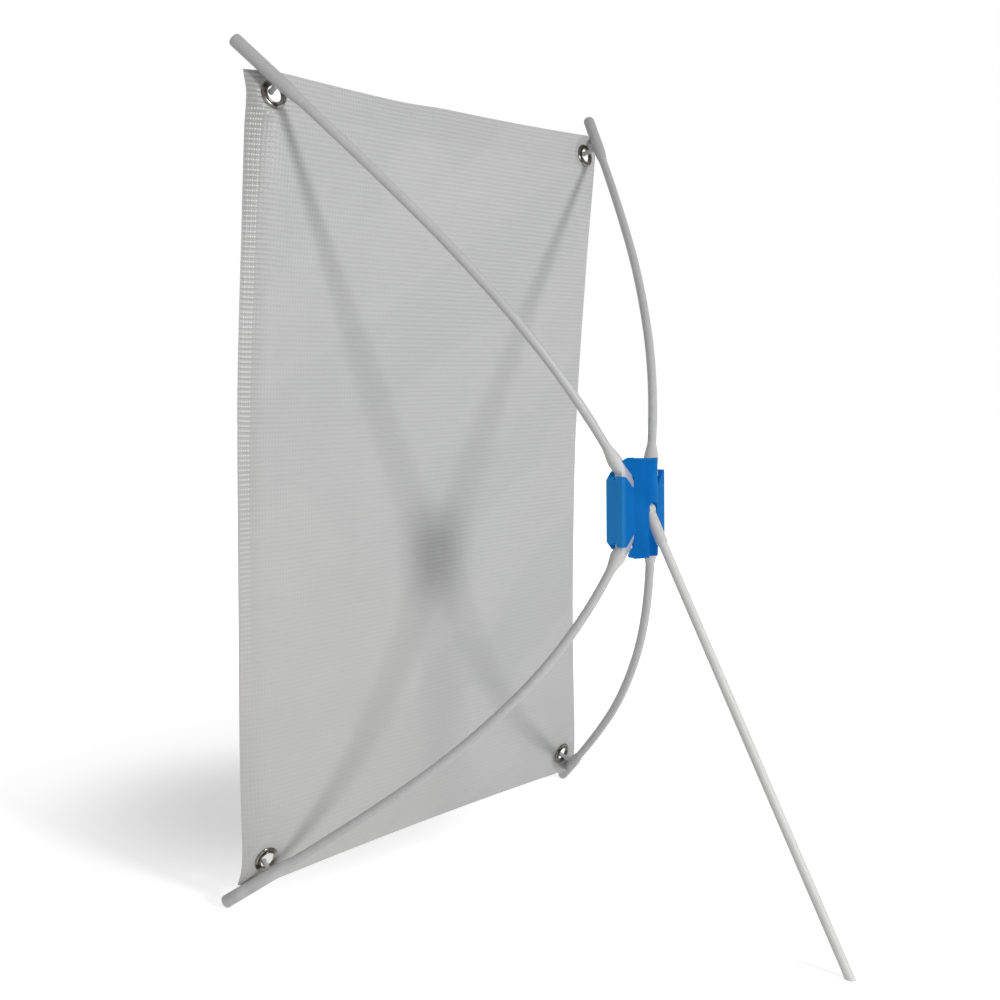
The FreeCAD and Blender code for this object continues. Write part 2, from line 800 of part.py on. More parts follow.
front_level = (bay_half + c.front_thickness).value
names = edges_where(plate.Shape, lambda p: abs(p.z - front_level) < c.cut_overrun.value / 1000)
rounded = front_plate.newObject("PartDesign::Fillet", "front_rim")
rounded.Base = (plate, names)
bind(rounded, "Radius", c.front_edge_radius)
doc.recompute()
for side, label in ((1, "left"), (-1, "right")):
    wall = new_sketch(front_plate, "side_wall_" + label, offset=bay_half)
    inner = (w - c.hub_side_wall) * side
    closed_outline(wall, [
        (inner, -c.front_corner_up),
        (w * side, -c.front_corner_up),
        (w * side, c.front_corner_up),
        (inner, c.front_corner_up),
    ])
    pad(front_plate, wall, bay_half + c.parting_back, "side_" + label, back=True)
# The plate is thinned inside along its upper and lower edges, where the arms' sockets swing past it.
far = w + c.cut_overrun
for level, label in ((1, "upper"), (-1, "lower")):
    relief = new_sketch(front_plate, "relief_" + label, offset=bay_half)
    near = c.front_relief_up * level
    end = (c.front_half_height + c.cut_overrun) * level
    closed_outline(relief, [(far, near), (far, end), (-far, end), (-far, near)])
    pocket(front_plate, relief, c.front_relief_depth, "relief_cut_" + label)
holes = new_sketch(front_plate, "pin_holes", offset=bay_half)
for bow in BOWS.values():
    circle(holes, c.arm_pivot_across * bow.side, c.arm_pivot_up * bow.level, c.pin_radius + c.pin_fit_gap)
pocket(front_plate, holes, c.pin_depth_front, "pin_seats")

# Hub rear shell
shell = keep(new_body("hub_rear_shell", HUB_FRAME))
# Two sections across the hub, drawn in the local XZ plane and run along its height: the column's flanks
# slope from a narrow crown to thin edges, and the wings carry on from the flanks to the hub's sides.
crown = c.rear_crown_back
column_section = new_sketch(shell, "column_section", "XZ_Plane")
edge = c.column_corner_across
closed_outline(column_section, [
    (edge, -c.parting_back),
    (edge, -c.column_edge_back),
    (c.rear_crown_across, -c.rear_crown_side_back),
    (-c.rear_crown_across, -c.rear_crown_side_back),
    (-edge, -c.column_edge_back),
    (-edge, -c.parting_back),
], {2: (ZERO, -crown)})
pad(shell, column_section, c.column_crown_up * 2, "column_block", both=True)
# The wings' inner end lies on the column's flank.
flank = (c.rear_crown_side_back - c.column_edge_back) / (edge - c.rear_crown_across)
root_back = c.column_edge_back + (edge - c.wing_root_across) * flank
wing_section = new_sketch(shell, "wing_section", "XZ_Plane")
closed_outline(wing_section, [
    (w, -c.parting_back),
    (c.rear_shoulder_across, -c.rear_shoulder_back),
    (c.wing_root_across, -root_back),
    (-c.wing_root_across, -root_back),
    (-c.rear_shoulder_across, -c.rear_shoulder_back),
    (-w, -c.parting_back),
])
pad(shell, wing_section, c.wing_half_height * 2, "wing_block", both=True)
# Everything outside the outline is cut away: wings at the sides, a flared column above and a shorter
# flared foot below, with a notch between each wing and the column for its arm.
trim = new_sketch(shell, "outline", offset=-c.parting_back)
top = c.column_crown_up + c.cut_overrun
closed_outline(trim, [(far, -top), (far, top), (-far, top), (-far, -top)])


def quarter(side, level):
    """One quarter of the outline, from the wing's corner to the column's corner."""
    corner = (c.column_corner_across, c.column_corner_up)
    if level < 0:
        corner = (c.foot_corner_across, c.foot_corner_down)
    return [
        (w * side, c.wing_half_height * level),
        (c.wing_notch_across * side, c.wing_half_height * level),
        (c.notch_floor_across * side, c.notch_floor_up * level),
        (c.neck_half_width * side, c.notch_floor_up * level),
        (c.neck_half_width * side, c.neck_top_up * level),
        (corner[0] * side, corner[1] * level),
    ]


ring = quarter(1, 1) + quarter(-1, 1)[::-1] + quarter(-1, -1) + quarter(1, -1)[::-1]
quarter_count = len(quarter(1, 1))
closed_outline(trim, ring, {
    quarter_count - 1: (ZERO, c.column_crown_up),
    3 * quarter_count - 1: (ZERO, -c.foot_crown_down),
})
pocket(shell, trim, crown + c.cut_overrun, "outline_cut", back=True)
# The column's rear edge is rounded over at its top and at its foot, drawn in the local YZ plane.
rounding = c.column_round
halfway = rounding * math.cos(math.pi / 4)
for end, level, label in ((c.column_crown_up, 1, "top"), (c.foot_crown_down, -1, "foot")):
    over = new_sketch(shell, "column_round_" + label, "YZ_Plane")
    closed_outline(over, [
        ((end - rounding) * level, -crown),
        (end * level, rounding - crown),
        ((end + c.cut_overrun) * level, rounding - crown),
        ((end + c.cut_overrun) * level, -crown - c.cut_overrun),
        ((end - rounding) * level, -crown - c.cut_overrun),
    ], {0: ((end - rounding + halfway) * level, rounding - crown - halfway)})
    pocket(shell, over, far * 2, "column_rounded_" + label, both=True)
# The bay that the arms lie in, and the set-back front faces of the two columns.
bay = new_sketch(shell, "bay", offset=-c.parting_back + c.cut_overrun)
inner = w - c.hub_side_wall
closed_outline(bay, [(inner, -top), (inner, top), (-inner, top), (-inner, -top)])
pocket(shell, bay, bay_half - c.parting_back + c.cut_overrun, "bay_cut", back=True)
for level, label in ((1, "upper"), (-1, "lower")):
    step = new_sketch(shell, "column_front_" + label, offset=-c.parting_back + c.cut_overrun)
    edge = c.wing_half_height * level
    closed_outline(step, [(far, edge), (far, top * level), (-far, top * level), (-far, edge)])
    depth = c.column_front_back - c.parting_back + c.cut_overrun
    pocket(shell, step, depth, "column_face_" + label, back=True)
# The leg's slot: a round top end, straight sides and open at the bottom.
slot = new_sketch(shell, "leg_slot", offset=-(crown + c.cut_overrun))
slot_half = c.leg_eye_radius + c.leg_slot_gap
slot_base = c.leg_slot_top - slot_half
closed_outline(slot, [
    (slot_half, slot_base),
    (-slot_half, slot_base),
    (-slot_half, -top),
    (slot_half, -top),
], {0: (ZERO, c.leg_slot_top)})
slot_floor = c.leg_pivot_back - c.leg_eye_radius - c.leg_slot_gap
pocket(shell, slot, crown + c.cut_overrun - slot_floor, "leg_slot_cut")
holes = new_sketch(shell, "pin_holes", offset=-bay_half)
for bow in BOWS.values():
    circle(holes, c.arm_pivot_across * bow.side, c.arm_pivot_up * bow.level, c.pin_radius + c.pin_fit_gap)
pocket(shell, holes, c.pin_depth_rear, "pin_seats", back=True)
cross = new_sketch(shell, "leg_pin_hole", "YZ_Plane")
circle(cross, -c.leg_pivot_drop, -c.leg_pivot_back, c.leg_pin_radius + c.pin_fit_gap)
pocket(shell, cross, (c.leg_pin_half_length + c.rod_end_gap) * 2, "leg_pin_bore", both=True)

# Arm pins
pin_front = bay_half + c.pin_depth_front
pin_rear = bay_half + c.pin_depth_rear
for name, bow in BOWS.items():
    base = Vector(bow.side * c.arm_pivot_across.value, bow.level * c.arm_pivot_up.value, 0)
    pin = keep(new_body("arm_pin_" + name, HUB_FRAME * Placement(base, Rotation())))
    ends = c.rod_end_gap
    profile = half_profile(pin, "profile", [
        (ZERO, -(pin_rear - ends)),
        (c.pin_radius - c.pin_chamfer, -(pin_rear - ends)),
        (c.pin_radius, -(pin_rear - ends - c.pin_chamfer)),
        (c.pin_radius, pin_front - ends - c.pin_chamfer),
        (c.pin_radius - c.pin_chamfer, pin_front - ends),
        (ZERO, pin_front - ends),
    ])
    turn(pin, profile, "turned", "V_Axis")

# Rear leg
pin_base = LEG_PIVOT - Vector(c.leg_pin_half_length.value, 0, 0)
leg_pin = keep(new_body("leg_pin", STAND * aim(pin_base, Vector(1, 0, 0), HUB_REAR)))
profile = new_sketch(leg_pin, "profile")
length = c.leg_pin_half_length * 2
closed_outline(profile, [
    (ZERO, ZERO),
    (ZERO, c.leg_pin_radius - c.pin_chamfer),
    (c.pin_chamfer, c.leg_pin_radius),
    (length - c.pin_chamfer, c.leg_pin_radius),
    (length, c.leg_pin_radius - c.pin_chamfer),
    (length, ZERO),
])
turn(leg_pin, profile, "turned")
# X runs down the leg from its pivot, Z is the hinge axis.
leg_frame = aim(pivot_world + Vector(0, SHIFT, 0), leg_world, Vector(0, 1, 0))
eye_body = new_body("leg_eye", leg_frame)
eye = new_sketch(eye_body, "eye")
circle(eye, ZERO, ZERO, c.leg_eye_radius)
pad(eye_body, eye, c.leg_eye_thickness, "eye_disc", both=True)
socket = new_body("leg_socket", leg_frame)
profile = new_sketch(socket, "profile")
closed_outline(profile, [
    (ZERO, ZERO),
    (ZERO, c.leg_eye_radius),
    (c.leg_socket_length, c.leg_socket_mouth_radius),
    (c.leg_socket_length, ZERO),
])
turn(socket, profile, "turned")
leg_axis = leg_frame * Placement(Vector(0, 0, 0), Rotation(Vector(0, 0, 1), Vector(1, 0, 0)))
leg_bore = c.leg_radius + c.rod_fit_gap
leg_rod_bore = part_cylinder(
    "leg_rod_bore", leg_bore, c.leg_socket_length,
    leg_axis * Placement(Vector(0, 0, c.leg_socket_floor.value), Rotation()))
eye_bore_frame = leg_frame * Placement(Vector(0, 0, -2 * c.leg_eye_radius.value), Rotation())
leg_eye_bore = part_cylinder(
    "leg_eye_bore", c.leg_pin_radius + c.running_gap, c.leg_eye_radius * 4, eye_bore_frame)
knuckle = doc.addObject("Part::Cut", "leg_knuckle")
knuckle.Base = fused("leg_knuckle_blank", [eye_body, socket])
knuckle.Tool = fused("leg_knuckle_cuts", [leg_rod_bore, leg_eye_bore])
knuckle.Label = "leg_knuckle"
keep(knuckle)
# The rod is made long and cut flat on the floor.
rod_start = c.leg_socket_floor.value + c.rod_end_gap.value
blank = doc.addObject("Part::Cylinder", "leg_rod_blank")
bind(blank, "Radius", c.leg_radius)
blank.Height = LEG_LENGTH - rod_start + 2 * c.leg_radius.value
blank.Placement = leg_axis * Placement(Vector(0, 0, rod_start), Rotation())
ground = doc.addObject("Part::Box", "ground")
ground.Length = 8 * c.leg_radius.value
ground.Width = 8 * c.leg_radius.value
ground.Height = 8 * c.leg_radius.value
ground.Placement = Placement(
    Vector(-4 * c.leg_radius.value, foot_world.y + SHIFT - 4 * c.leg_radius.value, -8 * c.leg_radius.value),
    Rotation())
leg_rod = doc.addObject("Part::Cut", "leg_rod")
leg_rod.Base = blank
leg_rod.Tool = ground
leg_rod.Label = "leg_rod"
keep(leg_rod)

# Checks and files
doc.recompute()
for thing in doc.Objects:
    bad = [word for word in thing.State if word in ("Invalid", "Error")]
    if bad:
        raise ValueError("%s is %s" % (thing.Label, bad))
os.makedirs("parts", exist_ok=True)
for node in nodes:
    shape = node.Shape
    if shape.isNull() or not shape.isValid() or len(shape.Solids) != 1:
        raise ValueError("%s has no single valid solid" % node.Label)
    shape.exportStep("parts/%s.step" % node.Label)
box = Part.makeCompound([node.Shape for node in nodes]).optimalBoundingBox()
print("nodes", len(nodes))
print("box %.2f %.2f %.2f  %.2f %.2f %.2f" % (box.XMin, box.YMin, box.ZMin, box.XMax, box.YMax, box.ZMax))
print("lift %.3f shift %.3f leg %.2f rods %.2f %.2f" % (
    LIFT, SHIFT, LEG_LENGTH, BOWS["upper_left"].length, BOWS["lower_left"].length))
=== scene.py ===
# %% [markdown]
# # A table-top x banner stand, dressed for its picture
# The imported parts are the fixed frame. Every piece below is made in the same place as the part that it
# stands for, and rides on that part's body, so it moves as the real one would.

# %% Load the frame
import math

import bmesh
import bpy
from mathutils import Matrix, Vector


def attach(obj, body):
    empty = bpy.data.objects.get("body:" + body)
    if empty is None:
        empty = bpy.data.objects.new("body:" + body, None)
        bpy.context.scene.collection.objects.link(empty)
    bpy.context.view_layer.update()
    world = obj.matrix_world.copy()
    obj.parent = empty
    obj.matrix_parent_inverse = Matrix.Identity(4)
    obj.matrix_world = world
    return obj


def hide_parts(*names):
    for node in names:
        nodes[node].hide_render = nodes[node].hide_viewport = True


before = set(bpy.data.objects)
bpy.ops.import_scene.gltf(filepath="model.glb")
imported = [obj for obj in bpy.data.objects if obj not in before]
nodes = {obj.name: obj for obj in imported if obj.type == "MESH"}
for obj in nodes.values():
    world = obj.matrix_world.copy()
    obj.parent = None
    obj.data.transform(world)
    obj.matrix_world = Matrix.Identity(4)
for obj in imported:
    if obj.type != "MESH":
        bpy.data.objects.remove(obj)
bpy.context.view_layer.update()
print("the frame holds", len(nodes), "parts")

# %% [markdown]
# ## Where the stand's own frame lies
# The stand leans back a little, so shapes are easier to make in its own frame: X across the banner, Y to
# the rear and Z up, in millimetres, with the origin at the banner's centre in the plane of its eyelets.
# One matrix takes such a shape to its place in metres. The hub has a frame of its own, tipped towards the
# banner, with X across it, Y up it and Z towards the banner.

# %% The frames of the stand and its hub
MM = 0.001
LEAN = math.radians(1.7)
SHIFT = -124.710
LIFT = 221.118
STAND = (
    Matrix.Scale(MM, 4)
    @ Matrix.Translation((0, SHIFT, LIFT))
    @ Matrix.Rotation(-LEAN, 4, "X")
)
HUB_CENTRE = Vector((0, 139.7, -3.8))
PITCH = Matrix.Rotation(math.radians(3.5), 4, "X")
HUB = STAND @ Matrix.Translation(HUB_CENTRE) @ PITCH @ Matrix.Rotation(math.radians(90), 4, "X")
CORNERS = {
    "upper_left": (1, 1),
    "upper_right": (-1, 1),
    "lower_left": (1, -1),
    "lower_right": (-1, -1),
}
print("the hub's centre is at", [round(v, 4) for v in HUB.translation])

# %% [markdown]
# ## The camera
# The picture is taken from behind and to one side, with a normal lens a little above the table. The camera
# is described the way that a photographer would: how far round, how high, and how much it is rolled.

# %% Camera
FOCAL = 47.609
AZIMUTH = math.radians(130.559)
ELEVATION = math.radians(6.310)
ROLL = math.radians(0.5356)
CAMERA_PLACE = (0.561895, 0.402581, 0.292096)
SENSOR_WIDTH = 36
back = Vector((
    math.sin(AZIMUTH) * math.cos(ELEVATION),
    -math.cos(AZIMUTH) * math.cos(ELEVATION),
    math.sin(ELEVATION),
))
level_right = Vector((math.cos(AZIMUTH), math.sin(AZIMUTH), 0))
level_up = back.cross(level_right)
right = level_right * math.cos(ROLL) + level_up * math.sin(ROLL)
up = level_up * math.cos(ROLL) - level_right * math.sin(ROLL)
camera_data = bpy.data.cameras.new("camera")
camera_data.lens = FOCAL
camera_data.sensor_width = SENSOR_WIDTH
camera = bpy.data.objects.new("camera", camera_data)
turned_view = Matrix((right, up, back)).transposed().to_4x4()
camera.matrix_world = Matrix.Translation(CAMERA_PLACE) @ turned_view
bpy.context.scene.collection.objects.link(camera)
bpy.context.scene.camera = camera
bpy.context.scene.view_settings.view_transform = "Standard"
print("the camera looks along", [round(-v, 3) for v in back])

# %% [markdown]
# ## Shader maths as plain sums
# A material is a graph of small nodes. Written out one by one they are hard to read, so `Field` wraps a
# socket and lets Python's own operators add the Math nodes, also where the number comes first.

# %% A class for sums on sockets
class Field:
    """One number or colour that changes over a surface."""

    def __init__(self, finish, socket):
        self.finish = finish
        self.socket = socket

    def math(self, operation, *others):
        node = self.finish.node("ShaderNodeMath", {"operation": operation})
        for k, value in enumerate((self, *others)):
            self.finish.feed(node.inputs[k], value)
        return Field(self.finish, node.outputs[0])

    def __add__(self, other):
        return self.math("ADD", other)

    __radd__ = __add__

    def __mul__(self, other):
        return self.math("MULTIPLY", other)

    __rmul__ = __mul__

    def __sub__(self, other):
        return self.math("SUBTRACT", other)

    def __rsub__(self, other):
        return (self * -1.0) + other

    def sine(self):
        return self.math("SINE")

    def absolute(self):
        return self.math("ABSOLUTE")

    def power(self, other):
        return self.math("POWER", other)

    def at_most(self, other):
        return self.math("MINIMUM", other)

    def at_least(self, other):
        return self.math("MAXIMUM", other)

    def ramp(self, low, high):
        """0 below low, 1 above high and a smooth rise between them."""
        node = self.finish.node(
            "ShaderNodeMapRange",
            {"interpolation_type": "SMOOTHSTEP"},
            {"Value": self, "From Min": low, "From Max": high},
        )
        return Field(self.finish, node.outputs[0])

    def mix(self, low, high):
        """The colour low where this is 0, and high where it is 1."""
        node = self.finish.node("ShaderNodeMix", {"data_type": "RGBA"})
        self.finish.feed(node.inputs[0], self)
        self.finish.feed(node.inputs[6], low)
        self.finish.feed(node.inputs[7], high)
        return Field(self.finish, node.outputs[2])


print("sums can now be written with", Field.__name__)

# %% [markdown]
# ## One material and its nodes
# `Finish` holds one material. What is the same all over the surface is written on the shader's own sockets
# when the finish is made, and what changes over it is fed to them later. One method makes any other node.

# %% A class for materials
class Finish:
    """A material: its nodes, the surface that they feed, and the plain values of its shader."""

    def __init__(self, name, **plain):
        self.material = bpy.data.materials.new(name)
        self.material.use_nodes = True
        self.tree = self.material.node_tree
        self.shader = self.tree.nodes["Principled BSDF"]
        for socket, value in plain.items():
            self.shader.inputs[socket.replace("_", " ")].default_value = value

    def feed(self, socket, value):
        """Link a field to a socket, or write a plain number or colour on it."""
        if isinstance(value, Field):
            self.tree.links.new(value.socket, socket)
        elif hasattr(value, "__len__") and len(value) == 3 and socket.type == "RGBA":
            socket.default_value = (*value, 1.0)
        else:
            socket.default_value = value

    def node(self, kind, settings=None, sockets=None):
        """Any node: its type, its settings, and the values or links of its sockets."""
        node = self.tree.nodes.new(kind)
        for name, value in (settings or {}).items():
            setattr(node, name, value)
        for name, value in (sockets or {}).items():
            self.feed(node.inputs[name], value)
        return node

    def field(self, node, output=0):
        return Field(self, node.outputs[output])

    def set(self, **inputs):
        """Feed the surface's own sockets."""
        for socket, value in inputs.items():
            self.feed(self.shader.inputs[socket.replace("_", " ")], value)

    def place(self):
        """The point on the object, in metres."""
        return self.field(self.node("ShaderNodeTexCoord"), "Object")

    def cloth_place(self):
        """The point on the flat cloth, from the piece's own UV map."""
        return self.field(self.node("ShaderNodeTexCoord"), "UV")

    def axes(self, vector):
        """The three numbers of a point."""
        node = self.node("ShaderNodeSeparateXYZ", None, {"Vector": vector})
        return [self.field(node, k) for k in range(3)]

    def noise(self, vector, size, detail=3.0):
        """Soft noise from 0 to 1, whose blotches are about size across."""
        node = self.node("ShaderNodeTexNoise", None, {
            "Vector": vector, "Scale": 1.0 / size, "Detail": detail})
        return self.field(node, 0)

    def bump(self, height, distance, strength):
        """A normal that rises and falls with height, by distance at most."""
        node = self.node("ShaderNodeBump", None, {
            "Height": height, "Distance": distance, "Strength": strength})
        return self.field(node)


print("ready to mix finishes")

# %% [markdown]
# ## How a shape becomes a piece
# Shapes are made at the origin, in millimetres, because numbers are easy to read there. `finished` then
# puts the shape's place into its mesh, turns its faces outwards, gives it its finish, and ties it to the
# body that it moves with. `turned` spins a profile as a lathe does, and `aimed` gives the matrix that
# lays a shape's X axis along a direction.

# %% Helpers for shapes
def aimed(point, direction, side):
    """A matrix whose X axis runs along a direction, with its Y axis as near as it can be to side."""
    x = direction.normalized()
    z = x.cross(side).normalized()
    y = z.cross(x)
    axes = Matrix((x, y, z)).transposed().to_4x4()
    return Matrix.Translation(point) @ axes


def turned(points, shape=None, place=None, steps=40):
    """Spin a profile of (along X, radius) points all the way round the X axis."""
    shape = shape or bmesh.new()
    old = set(shape.verts)
    line = [shape.verts.new((along, radius, 0)) for along, radius in points]
    edges = [shape.edges.new(pair) for pair in zip(line, line[1:])]
    bmesh.ops.spin(
        shape, geom=line + edges, cent=(0, 0, 0), axis=(1, 0, 0),
        angle=2 * math.pi, steps=steps, use_merge=True)
    made = [vert for vert in shape.verts if vert not in old]
    bmesh.ops.remove_doubles(shape, verts=made, dist=0.0001)
    if place is not None:
        made = [vert for vert in shape.verts if vert not in old]
        bmesh.ops.transform(shape, matrix=place, verts=made)
    return shape


def finished(name, shape, place, finish, body, hidden, sharp=35):
    """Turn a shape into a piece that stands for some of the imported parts."""
    bmesh.ops.transform(shape, matrix=place, verts=shape.verts)
    bmesh.ops.recalc_face_normals(shape, faces=shape.faces)
    mesh = bpy.data.meshes.new(name)
    shape.to_mesh(mesh)
    shape.free()
    mesh.shade_smooth()
    mesh.set_sharp_from_angle(angle=math.radians(sharp))
    mesh.materials.append(finish.material)
    piece = bpy.data.objects.new(name, mesh)
    bpy.context.scene.collection.objects.link(piece)
    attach(piece, body)
    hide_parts(*hidden)
    return piece


print("helpers ready")

# %% [markdown]
# ## White glass-fibre rod
# The rods and the leg are pulled glass-fibre rod in white resin: smooth and satin, a little uneven where
# the fibres lie near the surface. Fine and broad noise on Object coordinates gives that, and the fine one
# changes the roughness too. The leg gets a lighter copy of the same white, as painted light on it.

# %% Rod finish
def rod_white(name, low, high):
    """White glass-fibre rod, between two levels of white."""
    finish = Finish(name, Specular_IOR_Level=0.45)
    place = finish.place()
    fine = finish.noise(place, 0.0035, 2.0)
    patches = finish.noise(place, 0.045, 2.0)
    finish.set(
        Base_Color=(fine * 0.5 + patches * 0.5).ramp(0.3, 0.7).mix(low, high),
        Roughness=fine * 0.16 + 0.34,
        Normal=finish.bump(fine, 0.00012, 0.25),
    )
    return finish


rod_finish = rod_white("glass_fibre_white", (0.510, 0.512, 0.510), (0.570, 0.572, 0.570))
# The leg's copy is lighter than the rod's white, as painted light.
leg_lit_finish = rod_white("leg_white_lit", (0.660, 0.658, 0.645), (0.720, 0.718, 0.708))
print("mixed", rod_finish.material.name, "and", leg_lit_finish.material.name)

# %% [markdown]
# ## Moulded white plastic
# The arms, the end sleeves and the leg's knuckle are moulded nylon. It is a little creamier than the rod,
# and its surface has the fine, even tooth of a spark-worn mould. The sleeves get a copy with a darker
# lowest white, painted darker upwards as painted shade, so the upper sleeves look duller than the lower
# ones.

# %% Moulded finish
def moulded_white(name, low, high, shade_upwards=0.0):
    """Moulded nylon, between two levels of white; its last number paints it darker upwards, as painted
    shade.
    """
    finish = Finish(name, Specular_IOR_Level=0.4)
    place = finish.place()
    tooth = finish.noise(place, 0.0006, 2.0)
    # The height ramp paints the finish darker upwards, as painted shade.
    clouds_and_shade = finish.noise(place, 0.009, 3.0) - finish.axes(place)[2].ramp(0.05, 0.40) * shade_upwards
    finish.set(
        Base_Color=clouds_and_shade.ramp(0.3, 0.7).mix(low, high),
        Roughness=tooth * 0.12 + 0.42,
        Normal=finish.bump(tooth, 0.00005, 0.35),
    )
    return finish


moulded_finish = moulded_white("moulded_white", (0.570, 0.566, 0.555), (0.640, 0.638, 0.628))
# The sleeves' copy has a darker lowest white and is painted darker upwards, as painted shade.
sleeve_shaded_finish = moulded_white("sleeve_white_shaded", (0.505, 0.505, 0.503), (0.640, 0.641, 0.638), 0.6)
print("mixed", moulded_finish.material.name, "and", sleeve_shaded_finish.material.name)

# %% [markdown]
# ## Clear blue plastic
# The hub is moulded in tinted, see-through plastic about 2 mm thick. Light that enters its edges comes
# out again near the rims, so these look paler and greener than the deep blue of the broad faces. Here
# that is a mix of blues: soft vertical flow lines, a painted paler rim that Layer Weight finds where the
# surface turns away, painted paler side facets, and a painted glow of its own, brighter on the near side,
# which stands in for what comes through the wall and the slot's thin floor.

# %% Hub finish
EDGE_STARTS = 0.0160
EDGE_ENDS = 0.0184
SLOT_TOP = 0.213
SLOT_DEPTH = 0.0155
hub_finish = Finish(
    "clear_blue_plastic", Specular_IOR_Level=0.0, Coat_Weight=0.05, Coat_Roughness=0.1,
    Subsurface_Weight=0.4, Subsurface_Radius=(0.25, 0.6, 1.0), Subsurface_Scale=0.004,
    Emission_Strength=0.60)
hub_place = hub_finish.place()
hub_x, hub_y, hub_z = hub_finish.axes(hub_place)
flow_node = hub_finish.node("ShaderNodeMapping", None, {"Vector": hub_place, "Scale": (1.0, 1.0, 0.22)})
flow = hub_finish.noise(hub_finish.field(flow_node), 0.006, 2.0)
wide = hub_finish.noise(hub_place, 0.018, 2.0)
rim_node = hub_finish.node("ShaderNodeLayerWeight", None, {"Blend": 0.35})
# The rim, where the surface turns away, is painted paler, as painted light.
painted_rim_light = hub_finish.field(rim_node, 1).ramp(0.25, 0.95)
deep = (flow * 0.6 + wide * 0.4).ramp(0.32, 0.68).mix((0.002, 0.077, 0.262), (0.003, 0.098, 0.305))
# The outer side facets are painted paler, as painted light.
edge = hub_x.absolute().ramp(EDGE_STARTS, EDGE_ENDS)
slot_floor = 1 - hub_x.absolute().ramp(0.0034, 0.0039)
slot_floor = slot_floor * (1 - hub_z.ramp(SLOT_TOP - MM, SLOT_TOP + MM))
slot_floor = slot_floor * hub_y.ramp(SLOT_DEPTH - 0.5 * MM, SLOT_DEPTH + 0.5 * MM)
# The emission is a painted glow: brighter on the near side, and brighter still on the slot's floor, where
# it lifts the slot's shade.
painted_glow = (hub_x.ramp(EDGE_STARTS, EDGE_ENDS) * 0.7).mix(deep, (0.020, 0.163, 0.420))
painted_glow = slot_floor.mix(painted_glow, (0.010, 0.190, 0.560))
hub_finish.set(
    Base_Color=((painted_rim_light * 0.4).at_least(edge * 0.7)).mix(deep, (0.013, 0.130, 0.275)),
    Emission_Color=painted_glow,
    Roughness=wide * 0.12 + 0.16,
    Normal=hub_finish.bump(flow, 0.0003, 0.25),
)
print("mixed", hub_finish.material.name)

# %% [markdown]
# ## Nickel and steel
# The eyelets are nickel-plated brass, tarnished in patches by handling. The pins in the hub are plain drawn
# steel with fine scratches. Noise gives both, and a bare metal needs a roughness that changes with it.

# %% Metal finishes
nickel_finish = Finish("worn_nickel", Metallic=1.0)
nickel_place = nickel_finish.place()
tarnish = nickel_finish.noise(nickel_place, 0.003, 3.0)
nickel_finish.set(
    Base_Color=tarnish.ramp(0.3, 0.75).mix((0.10, 0.092, 0.080), (0.30, 0.285, 0.260)),
    Roughness=tarnish * 0.2 + 0.12,
    Normal=nickel_finish.bump(nickel_finish.noise(nickel_place, 0.0012, 2.0), 0.00005, 0.2),
)
steel_finish = Finish("drawn_steel", Metallic=1.0)
steel_place = steel_finish.place()
scratches = steel_finish.noise(steel_place, 0.0008, 2.0)
steel_finish.set(
    Base_Color=scratches.mix((0.42, 0.42, 0.43), (0.58, 0.58, 0.59)),
    Roughness=scratches * 0.2 + 0.25,
    Normal=steel_finish.bump(scratches, 0.00003, 0.3),
)
print("mixed", nickel_finish.material.name, "and", steel_finish.material.name)

# %% [markdown]
# ## The form of the stretched banner
# The banner is a cloth-backed sheet, pulled tight by its corners. It bellies forward in the middle, its
# long sides curl towards the front, and its top and bottom turn forward at their ends. A cloth simulation
# could find such a form, but this one is read off the photograph, so it is given by a few plain curves.

# %% Sizes of the sheet
HALF_WIDTH = 140.0
HALF_HEIGHT = 210.0
EYELET_X = 127.0
EYELET_Z = 197.0
# Height above the centre and depth of the cut edge, from the top down. Forward is negative.
LEFT_SIDE = (
    (210, -8.0), (198, -5.5), (180, -7.0), (130, -9.0), (45, -11.5), (-60, -9.5), (-150, -7.0),
    (-192, -4.5), (-203, -5.5), (-210, -8.0))
RIGHT_SIDE = (
    (210, -2.0), (195, -1.5), (130, -4.5), (30, -7.5), (-70, -5.5), (-135, -2.5), (-190, 1.0),
    (-210, 1.0))
# How quickly the sheet falls forward past the eyelets, going outwards along each side.
SIDE_FALL = {1: 0.17, -1: 0.0}
END_FALL = 0.1998
# The middle bellies forward between two heights, and past them the ends turn forward again.
BELLY_HEIGHT = 190.0
BELLY = 12.1
BELLY_ROUNDNESS = 0.88
END_DEPTH = 3.1
END_TURN = 0.1
# A row keeps its middle depth up to here, and then runs to its side's depth.
SIDE_STARTS = 112.0
# The flat rest round an eyelet ends between these two radii.
SEAT_RADII = (7.4, 13.5)
# A crease's depth, its length and width, and its way across and down from the eyelet.
CREASE_DEPTH = 0.25
CREASE_LENGTH = 40.0
CREASE_WIDTH = 3.4
CREASE_ACROSS = 0.42
CREASE_DOWN = 0.907
print("the sheet is", 2 * HALF_WIDTH, "by", 2 * HALF_HEIGHT, "mm")

# %% [markdown]
# ## The sheet's depth, point by point
# Three functions share the work: the depth down the middle, the depth along each long side, and the run
# from one to the other, with a flat rest and a soft crease at each eyelet.

# %% Curves of the sheet
def smooth(value, low, high):
    """0 below low, 1 above high and an even rise between them."""
    share = min(max((value - low) / (high - low), 0.0), 1.0)
    return share * share * (3 - 2 * share)


